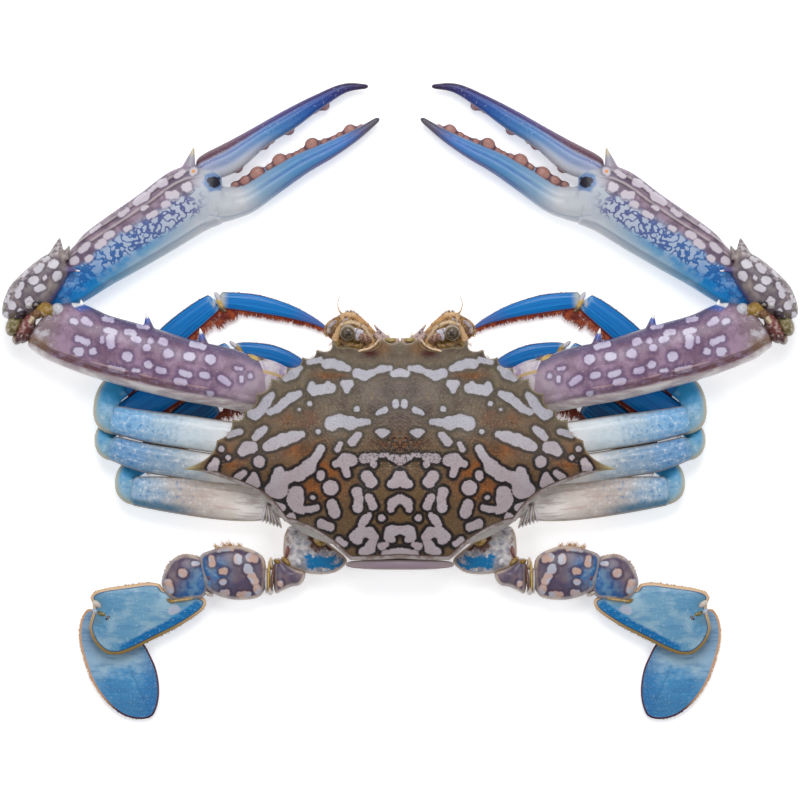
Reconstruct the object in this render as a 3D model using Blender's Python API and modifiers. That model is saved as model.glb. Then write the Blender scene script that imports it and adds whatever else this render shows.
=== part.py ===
"""A blue swimming crab (Portunus pelagicus, adult male), life size, laid out flat as a museum shows it.

Run with: blender --background --python part.py
Frame: metres, +Z up, floor at z = 0, the crab's front along +Y, its plane of symmetry at x = 0.
Every length in this file is in millimetres, and mesh data is scaled by MM when it is made.
Only the right half is described. Pieces on the midline are mirrored, and paired ones are copied.
"""

import math

import bmesh
import bpy
from mathutils import Vector

MM = 0.001
FLOOR = 0.0  # everything that rests on the floor is cut flat here

# ---- the shell (carapace)
SPINE_TIP = (77.8, -24.6)  # tip of the long lateral spine
SHELL_TOP = 36.0  # highest point of the dome over the floor
SHELL_UNDER = 18.0  # underside of the shell; the body below ends GAP lower
GAP = 0.35
DOME_CENTRE = (0.0, -17.0)
ORBIT_TOOTH = (24.3, 22.0)  # first tooth of the side, beside the eye
LAST_TOOTH = (65.5, -14.5)  # last tooth before the lateral spine
SIDE_TEETH = 9
TOOTH_DEPTH = 3.0
SIDE_BOW = 3.4  # how far the row of teeth bows outwards

# ---- limbs: stations along each piece, from its root to its tip.
# A station is x, y, height of the centre, breadth, thickness, and how far its section is
# turned from square, in degrees (left out where it is square).
CLAW_ARM = {
    "arm_base": [
        (34.9, 1.6, 7.4, 10.5, 8.6), (40, 4, 8.2, 13, 10), (47, 6, 9.6, 16.5, 12),
        (53.0, 6.8, 10.8, 17, 12.4),
    ],
    "arm": [
        (54.6, 6.4, 12, 17, 12.5), (62, 8, 13.4, 20, 14.6), (76, 10.8, 14.8, 21.3, 16.2),
        (92, 15, 15, 22, 16.6), (108, 19.5, 15, 22, 16.6, 4), (121, 23, 14.4, 20, 15.4, 10),
        (130.2, 25.8, 13.4, 15.5, 13.4, 15),
    ],
    "wrist": [
        (132.6, 26.9, 12, 11.5, 11, -30), (135.2, 31, 11.6, 12.6, 13, -18),
        (133, 37.5, 10.8, 12, 14.6, -10), (128.5, 42.8, 10, 11.6, 14.6, -8),
        (123, 47.3, 9.6, 11, 13.4, 6), (119.4, 49.2, 9.4, 9.4, 12, 0),
    ],
    "palm": [
        (116.2, 45.4, 8.4, 17, 10.6, 40), (107.3, 50.8, 8.0, 21, 14.4, 15),
        (97, 57.2, 7.9, 22.5, 16, 0), (86, 64.2, 7.9, 23.6, 16.4, 0),
        (75.4, 71.2, 7.9, 24.6, 16.4, 0), (67.6, 73.4, 7.8, 21.6, 15.4, -20),
        (61.8, 70.8, 7, 13.6, 12, -30), (54.6, 71.9, 6.2, 10.2, 9.6, 0),
        (45, 78.2, 5.8, 9, 8.8, 0), (35, 84.5, 5.4, 7.7, 8, 0), (25, 89.5, 4.8, 6, 6.8, 0),
        (15.6, 94.9, 4.2, 3.8, 4.8, 0), (7.4, 100.6, 3.6, 1.7, 2.6, 0),
    ],
    "finger": [
        (67.8, 84.2, 7.6, 8.6, 10), (60.5, 86.7, 7.2, 10.8, 11), (50, 94.0, 6.4, 8, 8.6),
        (40, 100, 5.8, 7.4, 7.6), (30, 106.2, 5, 5.4, 6.2), (20, 111.4, 4.2, 3.4, 4.4),
        (11.2, 112.3, 3.4, 1.5, 2.4),
    ],
}
WALKING_LEGS = {
    "leg2_merus": [
        (37.7, -13, 6.6, 9, 7.4), (50, -14, 8, 11, 8.4), (62, -13.5, 9.2, 11.6, 8.8),
        (76, -11.3, 9.6, 11.7, 8.8), (90, -9.4, 9.6, 11.2, 8.6), (102.2, -7, 9.2, 8.4, 7.4),
    ],
    "leg2_carpus": [
        (105.2, -7, 8.6, 6.8, 6.6), (107.5, -4.4, 7.6, 5.8, 6.2), (107.2, 0.6, 5.2, 5.8, 5.4),
        (104, 5.2, 3.1, 5.8, 4.8),
    ],
    "leg2_propodus": [
        (102.4, 7.2, 2.4, 5.6, 4.6), (92, 15.5, 2.2, 8.2, 4.6), (80, 24.6, 2.1, 9.4, 4.4),
        (71.5, 31.2, 2.1, 8.4, 4.2), (66.2, 35.4, 2.0, 6.6, 4),
    ],
    "leg2_dactyl": [
        (64.6, 36, 2.0, 5.2, 3.8), (57, 35.1, 1.9, 6.4, 3.6), (50, 34.1, 1.8, 6.6, 3.4),
        (40, 31.7, 1.6, 5, 3), (31, 28.3, 1.4, 2.4, 2.4), (25.7, 25.3, 1.2, 0.9, 1.6),
    ],
    "leg3_merus": [
        (38.4, -24.4, 6.6, 7, 7), (52, -23.8, 8.2, 6.8, 7.6), (66, -22.8, 9.4, 6.6, 8.2),
        (80, -21.3, 9.6, 7.6, 8.4), (92, -19.9, 9.6, 8.2, 8.2), (102.2, -17.2, 9.2, 7.2, 7.2),
    ],
    "leg3_carpus": [
        (105.1, -17.4, 8.2, 6.2, 6), (107.9, -15.8, 6.6, 5.2, 5.4), (107.6, -12.9, 4.4, 5, 4.6),
        (104.8, -10.9, 2.7, 5, 4.2),
    ],
    "leg3_propodus": [
        (103.3, -9.8, 2.2, 5, 4.2), (92, -2.2, 2.1, 7.6, 4.4), (80, 6.2, 2.1, 8.6, 4.4),
        (69, 13.6, 2.0, 7.6, 4.2), (61, 18.4, 2.0, 5.6, 4),
    ],
    "leg3_dactyl": [
        (59.2, 18.6, 2.0, 4.2, 3.6), (54, 18.2, 1.8, 4.8, 3.4), (46, 16.6, 1.6, 5.6, 3),
        (38, 13.8, 1.4, 4.2, 2.6), (29.5, 9.2, 1.2, 1.0, 1.6),
    ],
    "leg4_merus": [
        (36.9, -36.4, 6.6, 9, 7.4), (49, -38, 8, 9.4, 8), (58, -36.6, 9, 13, 8.6),
        (70, -35.4, 9.5, 13.6, 8.6), (84, -33.6, 9.4, 12.4, 8.4), (95.6, -32.6, 8.8, 8.2, 7.2),
    ],
    "leg4_carpus": [
        (98.2, -32.4, 8.2, 6.6, 6.2), (100.5, -29.8, 6.6, 5.6, 5.6), (99.4, -26.6, 4.4, 5.4, 4.6),
        (96.6, -24.7, 2.8, 5.4, 4.2),
    ],
    "leg4_propodus": [
        (94.9, -23.5, 2.2, 5.4, 4.2), (86, -17, 2.1, 8, 4.2), (76, -9.6, 2.1, 8.6, 4.2),
        (66, -2.6, 2.0, 6.4, 4),
    ],
    "leg4_dactyl": [
        (64.2, -1.5, 2.0, 4.8, 3.6), (57, 1.4, 1.6, 5.8, 3), (49, 3.2, 1.3, 4.8, 2.4),
        (39, 4.2, 1.0, 1.2, 1.5),
    ],
}
SWIMMING_LEG = {
    "swim_coxa": [
        (21.7, -57.4, 8.2, 6, 8), (28, -55.4, 8.4, 12.6, 9.4), (35, -53.2, 8.4, 13.8, 9.4),
        (40.8, -51.8, 8, 12, 8.8),
    ],
    "swim_ischium": [
        (35.4, -65.0, 8, 5.6, 7), (39.4, -64.3, 8, 8, 8.4), (44.2, -62.8, 8, 11.4, 9),
    ],
    "swim_merus": [
        (46.2, -62.6, 8, 11, 9), (52, -62.4, 8.2, 16.8, 10.4), (58, -62, 8.4, 19.4, 11.2),
        (64, -61.4, 8.2, 17.8, 10.6), (69.2, -60.8, 7.8, 11, 9),
    ],
    "swim_carpus": [
        (71.7, -60.6, 7.6, 9, 8), (75.4, -62.6, 7.8, 14.6, 9.2), (79, -65.8, 7.6, 13.4, 8.8),
        (81, -69.4, 7.2, 9, 7),
    ],
    "swim_propodus": [
        (79.2, -73.4, 6.6, 10, 5, -25), (86.5, -73.9, 6.4, 18.6, 5.4, -20),
        (97, -77.2, 6.3, 22.8, 5.4, -10), (106, -80, 6.1, 20.6, 5, -5),
        (110.8, -81.4, 6, 11, 4.4, 0),
    ],
    "swim_paddle": [
        (110.2, -76.2, 1.6, 7, 2.9), (107.2, -83.6, 1.55, 18, 3), (101.2, -94.3, 1.5, 24.6, 3),
        (95, -105, 1.5, 20.6, 2.9), (90, -113.8, 1.4, 8.6, 2.2),
    ],
}
HEAD = {
    "eyestalk": [(10.6, 20.9, 20.2, 2.6, 3), (13, 21.9, 20.3, 3, 3.4), (15.3, 22.8, 20.3, 3.2, 3.4)],
    "antenna": [
        (23.6, 20.4, 15.4, 3, 3), (22.4, 25, 16, 2.4, 2.4), (20.6, 29.4, 16.9, 1.3, 1.3),
        (21.9, 33, 17.6, 0.75, 0.75), (21.7, 38, 18.6, 0.65, 0.65), (19.8, 43, 19.6, 0.6, 0.6),
    ],
    "antennule": [(3.6, 21.8, 16.5, 1.7, 1.7), (6.5, 23.7, 16.9, 1.6, 1.6), (9.3, 26.6, 17.6, 0.8, 0.8)],
    "maxilliped": [
        (6, 17.0, 7, 6, 5), (9, 21, 9, 8.5, 6), (15, 25.8, 11, 9.4, 6.4), (21, 27.6, 12.2, 7.4, 5.4),
        (24.6, 25.2, 12.6, 3.6, 3.8),
    ],
}
EYE_CENTRE, EYE_RADIUS = (18.5, 24.0, 20.4), 2.9

# Spines and teeth: foot, tip and the radius at the foot.
ARM_SPINES = [
    ((69.2, 15.5, 16), (71.4, 25.8, 16.5), 3.0), ((88.8, 21, 16.5), (90.5, 31.3, 17), 3.2),
    ((111, 26, 16.5), (113.8, 35.9, 17), 3.2),
]
WRIST_SPINES = [
    ((124.5, 49.5, 11), (121.5, 57.6, 12), 3.0), ((122.4, 46.8, 12.4), (113.8, 46, 17.4), 1.8),
]
PALM_SPINES = [((75.4, 83.0, 9), (73.6, 90.2, 9.5), 2.4)]
FIXED_FINGER_TEETH = [(18.3, 98.7), (31.5, 93.8), (43, 88), (51, 83.3), (56.2, 79.8)]
FREE_FINGER_TEETH = [(27, 103.4), (39.8, 94.7), (48.6, 89.4), (58.2, 81.3)]


# ---------------------------------------------------------------- helpers


def clear_scene():
    for thing in list(bpy.data.objects):
        bpy.data.objects.remove(thing, do_unlink=True)


def collection(name):
    made = bpy.data.collections.new(name)
    bpy.context.scene.collection.children.link(made)
    return made


def shell_material(name, colour, roughness=0.4):
    made = bpy.data.materials.new(name)
    made.use_nodes = True
    shader = made.node_tree.nodes["Principled BSDF"]
    shader.inputs["Base Color"].default_value = (*colour, 1.0)
    shader.inputs["Roughness"].default_value = roughness
    shader.inputs["Metallic"].default_value = 0.0
    made.diffuse_color = (*colour, 1.0)
    return made


def smooth(values, share):
    """Catmull-Rom through evenly spaced values (numbers or vectors), share from 0 to 1."""
    last = len(values) - 1
    place = min(max(share, 0.0), 1.0) * last
    i = min(int(place), last - 1)
    f = place - i
    before = values[i - 1] if i > 0 else 2 * values[0] - values[1]
    after = values[i + 2] if i + 2 <= last else 2 * values[last] - values[last - 1]
    a, b = values[i], values[i + 1]
    slope_a, slope_b = (b - before) * 0.5, (after - a) * 0.5
    return (
        a * (2 * f**3 - 3 * f**2 + 1)
        + slope_a * (f**3 - 2 * f**2 + f)
        + b * (3 * f**2 - 2 * f**3)
        + slope_b * (f**3 - f**2)
    )


class Limb:
    """The smooth run of a limb's stations, read by the distance from its root."""

    def __init__(self, stations, samples=96):
        full = [tuple(s) + (0,) * (6 - len(s)) for s in stations]
        self.centres = [Vector(s[:3]) for s in full]
        self.sizes = [Vector(s[3:]) for s in full]
        self.shares = [k / samples for k in range(samples + 1)]
        self.line = [smooth(self.centres, f) for f in self.shares]
        self.run = [0.0]
        for a, b in zip(self.line, self.line[1:]):
            self.run.append(self.run[-1] + (b - a).length)
        self.length = self.run[-1]

    def share(self, distance):
        distance = min(max(distance, 0.0), self.length)
        k = next(i for i in range(1, len(self.run)) if self.run[i] >= distance - 1e-9)
        f = (distance - self.run[k - 1]) / (self.run[k] - self.run[k - 1])
        return self.shares[k - 1] + f * (self.shares[k] - self.shares[k - 1])

    def read(self, distance):
        """Centre, way ahead, breadth, thickness and turn."""
        centre = smooth(self.centres, self.share(distance))
        step = self.length / 50
        ahead = smooth(self.centres, self.share(distance + step)) - smooth(
            self.centres, self.share(distance - step)
        )
        size = smooth(self.sizes, self.share(distance))
        return centre, ahead, size.x, size.y, math.radians(size.z)


def mesh_object(name, bm, group, paint):
    bmesh.ops.recalc_face_normals(bm, faces=bm.faces)
    for corner in bm.verts:
        corner.co *= MM
    data = bpy.data.meshes.new(name)
    bm.to_mesh(data)
    bm.free()
    data.shade_smooth()
    made = bpy.data.objects.new(name, data)
    made.data.materials.append(paint)
    group.objects.link(made)
    return made


def segment(bm, stations, ends=(1.5, 1.5), sides=8, rings=4, square=2.3, upright=True):
    """One jointed piece of a limb: a loft of rounded sections, domed at both ends.

    ends says how long the two domed ends are, and square how boxy a section is. upright
    keeps the thickness vertical; otherwise the breadth lies along x and the piece may fold.
    """
    limb = Limb(stations)
    stops = [(0.35 * ends[0], 0.75), (ends[0], 1.0)]
    stops += [
        (ends[0] + (limb.length - sum(ends)) * k / rings, 1.0) for k in range(1, rings + 1)
    ]
    stops.append((limb.length - 0.35 * ends[1], 0.75))
    loops = []
    for distance, share in stops:
        centre, ahead, breadth, thickness, turn = limb.read(distance)
        if upright:
            way = math.atan2(-ahead.x, ahead.y) + turn
            right, up = Vector((math.cos(way), math.sin(way), 0.0)), Vector((0, 0, 1))
        else:
            right = Vector((1, 0, 0))
            up = right.cross(ahead).normalized()
        loop = []
        for i in range(sides):
            angle = 2 * math.pi * (i + 0.5) / sides
            c, s = math.cos(angle), math.sin(angle)
            across = math.copysign(abs(c) ** (2 / square), c) * breadth / 2 * share
            over = math.copysign(abs(s) ** (2 / square), s) * thickness / 2 * share
            spot = centre + right * across + up * over
            spot.z = max(spot.z, FLOOR)
            loop.append(bm.verts.new(spot))
        loops.append(loop)
    for loop, following in zip(loops, loops[1:]):
        for i in range(sides):
            j = (i + 1) % sides
            bm.faces.new((loop[i], loop[j], following[j], following[i]))
    for loop, distance in ((loops[0], 0.0), (loops[-1], limb.length)):
        centre = limb.read(distance)[0]
        centre.z = max(centre.z, FLOOR + 0.2)
        pole = bm.verts.new(centre)
        for i in range(sides):
            bm.faces.new((loop[i], loop[(i + 1) % sides], pole))
    return limb


def spike(bm, foot, tip, radius, sides=6):
    """A spine: a cone from foot to tip."""
    foot, tip = Vector(foot), Vector(tip)
    turn = (tip - foot).to_track_quat("Z", "Y").to_matrix().to_4x4()
    turn.translation = (foot + tip) / 2
    bmesh.ops.create_cone(
        bm, cap_ends=True, segments=sides, radius1=radius, radius2=radius * 0.14,
        depth=(tip - foot).length, matrix=turn,
    )


def solid(name, draw, group, paint, extras=()):
    """An object from a drawing function, with extra closed shapes joined by Boolean union."""
    bm = bmesh.new()
    draw(bm)
    body = mesh_object(name, bm, group, paint)
    helpers = []
    for extra in extras:
        bm = bmesh.new()
        extra(bm)
        helper = mesh_object(name + "_extra", bm, group, paint)
        join = body.modifiers.new("join", "BOOLEAN")
        join.operation, join.object = "UNION", helper
        helpers.append(helper)
    if helpers:
        graph = bpy.context.evaluated_depsgraph_get()
        fused = bpy.data.meshes.new_from_object(body.evaluated_get(graph))
        body.modifiers.clear()
        body.data = fused
        for helper in helpers:
            bpy.data.objects.remove(helper)
    return body


def both_sides(name, draw, group, paint, extras=()):
    """A right piece, and a left one that shares its mesh, mirrored across the crab's midline."""
    right = solid(name + "_R", draw, group, paint, extras)
    left = bpy.data.objects.new(name + "_L", right.data)
    left.scale.x = -1
    group.objects.link(left)


# ---------------------------------------------------------------- body


def side_margin():
    """The toothed edge from the eye socket round to the tip of the lateral spine."""
    start, end = Vector(ORBIT_TOOTH), Vector(LAST_TOOTH)
    out = Vector((start.y - end.y, end.x - start.x)).normalized()
    edge = []

    def bowed(share):
        return start.lerp(end, share) + out * SIDE_BOW * math.sin(math.pi * share)

    for k in range(SIDE_TEETH):
        edge.append(bowed(k / (SIDE_TEETH - 1)))
        if k < SIDE_TEETH - 1:
            edge.append(bowed((k + 0.42) / (SIDE_TEETH - 1)) - out * TOOTH_DEPTH)
            edge.append(bowed((k + 0.72) / (SIDE_TEETH - 1)) - out * TOOTH_DEPTH * 0.62)
    return edge + [Vector((66.4, -18.2)), Vector((72, -22.0)), Vector(SPINE_TIP)]


def shell_outline():
    """Half the edge seen from above, from the middle of the front to the middle of the back."""
    front = [(0, 21.3), (3.4, 19.8), (6.6, 22), (9, 19.6), (14, 17.8), (19, 18.4), (22.2, 20.2)]
    back = [(70, -25.8), (60, -29), (50, -33.7), (44.6, -38.6), (41, -43.2), (33, -45.9)]
    back += [(25.6, -50), (20.4, -55), (17.2, -57), (9, -56.8), (0, -56.3)]
    return [Vector(p) for p in front] + side_margin() + [Vector(p) for p in back]


def shell_reach(outline):
    """How far the dome reaches in each direction: the outline without its teeth and spines."""
    spokes = [(p - Vector(DOME_CENTRE)) for p in outline]
    turns = [math.atan2(s.x, s.y) for s in spokes]

    def reach(turn):
        near = [math.exp(-(((turn - t) / 0.16) ** 2)) for t in turns]
        far = [min(s.length, 66.0) for s in spokes]
        return 0.97 * sum(n * f for n, f in zip(near, far)) / sum(near)

    return reach


def rim_height(x):
    """The rim is highest at the front and back, and lowest at the lateral spines."""
    return 23.0 - 3.2 * min(abs(x) / SPINE_TIP[0], 1.0) ** 1.3


def shell_height(x, share):
    return rim_height(x) + (SHELL_TOP - rim_height(x)) * max(0.0, 1 - share**2.2) ** 0.8


def draw_shell(bm):
    """Right half of the shell, open at the midline for the Mirror modifier."""
    outline = shell_outline()
    reach = shell_reach(outline)
    centre = Vector(DOME_CENTRE)
    rings = [[(p * 1.0).lerp(centre, 0.06).to_3d() + Vector((0, 0, SHELL_UNDER)) for p in outline]]
    rings.append([Vector((p.x, p.y, rim_height(p.x) - 1.6)) for p in outline])
    rings.append([Vector((p.x, p.y, rim_height(p.x) - 0.4)) for p in outline])
    for share in (0.94, 0.8, 0.6, 0.36):
        ring = []
        for p in outline:
            spoke = p - centre
            turn = math.atan2(spoke.x, spoke.y)
            far = min(reach(turn) * share, spoke.length * (share + 0.015))
            spot = centre + spoke.normalized() * far
            ring.append(Vector((spot.x, spot.y, shell_height(spot.x, share))))
        rings.append(ring)
    made = []
    for ring in rings:
        made.append([bm.verts.new((max(v.x, 0.0), v.y, v.z)) for v in ring])
    top = bm.verts.new((0, centre.y, SHELL_TOP))
    under = bm.verts.new((0, centre.y, SHELL_UNDER))
    for ring, following in zip(made, made[1:]):
        for i in range(len(ring) - 1):
            bm.faces.new((ring[i], ring[i + 1], following[i + 1], following[i]))
    for ring, pole in ((made[0], under), (made[-1], top)):
        for i in range(len(ring) - 1):
            bm.faces.new((ring[i], ring[i + 1], pole))


def draw_underbody(bm):
    """Right half of the body under the shell: cheeks, side walls and the flat breastplate."""
    # Each level: height, half width, and where its front and its back end.
    levels = [
        (SHELL_UNDER - GAP, 56, 16.5, -54), (14.5, 44, 16, -55), (11, 34.2, 14.5, -55.4),
        (6, 32.5, 12, -55), (3.6, 28, 8, -52), (2.6, 22, 3, -47),
    ]
    steps = 14
    rings = []
    for height, wide, front, back in levels:
        ring = []
        middle, reach = (front + back) / 2, (front - back) / 2
        for k in range(steps + 1):
            turn = math.pi * k / steps
            side = wide * max(math.sin(turn), 0.0) ** 0.75 * (1 - 0.16 * max(0.0, -math.cos(turn)))
            ahead = middle + reach * math.copysign(abs(math.cos(turn)) ** 0.85, math.cos(turn))
            ring.append(bm.verts.new((side if 0 < k < steps else 0.0, ahead, height)))
        rings.append(ring)
    for ring, following in zip(rings, rings[1:]):
        for i in range(steps):
            bm.faces.new((ring[i], ring[i + 1], following[i + 1], following[i]))
    bm.faces.new(rings[0])
    bm.faces.new(rings[-1])


def mirrored(name, draw, group, paint):
    bm = bmesh.new()
    draw(bm)
    made = mesh_object(name, bm, group, paint)
    mirror = made.modifiers.new("mirror", "MIRROR")
    mirror.use_clip = True
    mirror.merge_threshold = 0.00002


def draw_abdomen(bm):
    """The tail: a plate behind the shell that folds down and lies flat along the breast."""
    fold = [
        (0, -58.9, 21.2, 37, 3.2), (0, -59.2, 16, 35, 3.2), (0, -59.4, 9, 28, 3), (0, -56, 3.1, 23, 2.6),
        (0, -48, 1.2, 19, 2.2), (0, -30, 1.05, 13, 2.1), (0, -8, 1.05, 3.6, 1.9),
    ]
    segment(bm, fold, ends=(0.8, 1.5), sides=8, rings=12, square=3.2, upright=False)


# ---------------------------------------------------------------- limbs and head


def teeth_on(tips, lean, radius, long):
    """Biting teeth: cones standing on the edge of a finger."""

    def draw(bm):
        for x, y in tips:
            tip = Vector((x, y, 5.6 - (58 - x) * 0.034))
            foot = tip - Vector((lean[0], lean[1], 0)).normalized() * long
            spike(bm, foot, tip, radius, sides=5)

    return draw


def spines(rows):
    def draw(bm):
        for foot, tip, radius in rows:
            spike(bm, foot, tip, radius)

    return draw


def drawer(stations, **shape):
    return lambda bm: segment(bm, stations, **shape)


def build_claws(group, paint):
    big = {"sides": 12, "square": 2.2}
    both_sides("arm_base", drawer(CLAW_ARM["arm_base"], rings=3, sides=10), group, paint["pale"])
    both_sides(
        "arm", drawer(CLAW_ARM["arm"], rings=6, **big), group, paint["violet"], [spines(ARM_SPINES)]
    )
    both_sides(
        "wrist", drawer(CLAW_ARM["wrist"], rings=5, **big), group, paint["violet"],
        [spines(WRIST_SPINES)],
    )
    both_sides(
        "palm", drawer(CLAW_ARM["palm"], rings=16, **big), group, paint["sky"],
        [spines(PALM_SPINES), teeth_on(FIXED_FINGER_TEETH, (0.5, 0.87), 2.3, 5.6)],
    )
    both_sides(
        "finger", drawer(CLAW_ARM["finger"], rings=8, ends=(3, 1.5), sides=10, square=2.2),
        group, paint["violet"], [teeth_on(FREE_FINGER_TEETH, (-0.5, -0.87), 2.0, 5.2)],
    )


def build_legs(group, paint):
    for name, stations in WALKING_LEGS.items():
        blade = name.endswith(("propodus", "dactyl"))
        slot = "blue" if blade else "sky"
        shape = {"rings": 3, "square": 2.0} if blade else {"rings": 4}
        both_sides(name, drawer(stations, ends=(1, 1), **shape), group, paint[slot])
    for name, stations in SWIMMING_LEG.items():
        flat = name in ("swim_propodus", "swim_paddle")
        slot = "blue" if flat else "violet"
        ends = (1.5, 3.0) if flat else (1.2, 1.2)
        sides = 8 if flat else 10
        both_sides(name, drawer(stations, ends=ends, rings=5, sides=sides), group, paint[slot])


def build_head(group, paint):
    for name, stations in HEAD.items():
        slot = "tan" if name == "maxilliped" else "violet"
        rings = 6 if name == "antenna" else 3
        sides = 6 if name.startswith("anten") else 8
        shape = {"ends": (0.6, 0.6), "rings": rings, "sides": sides, "square": 2.0}
        both_sides(name, drawer(stations, **shape), group, paint[slot])

    def eyeball(bm):
        made = bmesh.ops.create_icosphere(bm, subdivisions=2, radius=EYE_RADIUS)
        bmesh.ops.translate(bm, verts=made["verts"], vec=EYE_CENTRE)

    both_sides("eye", eyeball, group, paint["eye"])


def main():
    clear_scene()
    group = collection("blue_swimming_crab")
    paint = {
        "shell": shell_material("spotted_shell", (0.30, 0.25, 0.20), 0.42),
        "violet": shell_material("violet_shell", (0.42, 0.32, 0.42), 0.38),
        "pale": shell_material("pale_shell", (0.82, 0.79, 0.74), 0.4),
        "blue": shell_material("blue_shell", (0.05, 0.33, 0.68), 0.35),
        "sky": shell_material("sky_shell", (0.33, 0.58, 0.82), 0.35),
        "tan": shell_material("tan_shell", (0.55, 0.38, 0.2), 0.55),
        "eye": shell_material("eye", (0.06, 0.05, 0.04), 0.15),
    }
    mirrored("carapace", draw_shell, group, paint["shell"])
    mirrored("underbody", draw_underbody, group, paint["pale"])
    solid("abdomen", draw_abdomen, group, paint["pale"])
    build_claws(group, paint)
    build_legs(group, paint)
    build_head(group, paint)


main()
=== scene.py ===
import math

import bmesh
import bpy
import numpy as np
from mathutils import Matrix, Vector


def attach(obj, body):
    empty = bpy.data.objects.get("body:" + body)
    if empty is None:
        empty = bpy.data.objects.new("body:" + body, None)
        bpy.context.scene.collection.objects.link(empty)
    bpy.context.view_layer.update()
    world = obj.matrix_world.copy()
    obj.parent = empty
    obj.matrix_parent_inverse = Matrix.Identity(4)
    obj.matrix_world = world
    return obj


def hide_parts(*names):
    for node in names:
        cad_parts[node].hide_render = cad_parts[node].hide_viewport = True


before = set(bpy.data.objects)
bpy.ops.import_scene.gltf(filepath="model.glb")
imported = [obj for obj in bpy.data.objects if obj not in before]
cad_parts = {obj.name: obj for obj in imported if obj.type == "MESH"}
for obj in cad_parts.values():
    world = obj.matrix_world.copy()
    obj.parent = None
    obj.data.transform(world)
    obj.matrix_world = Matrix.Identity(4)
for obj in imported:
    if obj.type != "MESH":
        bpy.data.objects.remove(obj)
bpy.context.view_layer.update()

# ------------------------------------------------------------------ the back shell
# One hard, slightly domed plate of chitin covers the whole body. Its front edge carries small
# pointed teeth and ends at each side in a long spine; it grew in one piece, is finely grained
# all over, and is brown with pale lavender blotches that each have a nearly black outline.

MM = 0.001
RIM, CROWN, UNDERSIDE = 23.0, 36.0, 18.0  # heights over the floor: rim at the front, top, underside
MIDDLE = np.array([0.0, -17.0])
SIDE_TEETH = [
    (24.2, 22.0), (29.8, 17.9), (34.9, 15.3), (40.2, 11.6), (45.9, 7.6), (51.5, 2.3), (55.6, -3.9),
    (59.9, -6.9), (65.3, -14.4),
]
SPINE_TIP = (77.6, -24.6)
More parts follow.
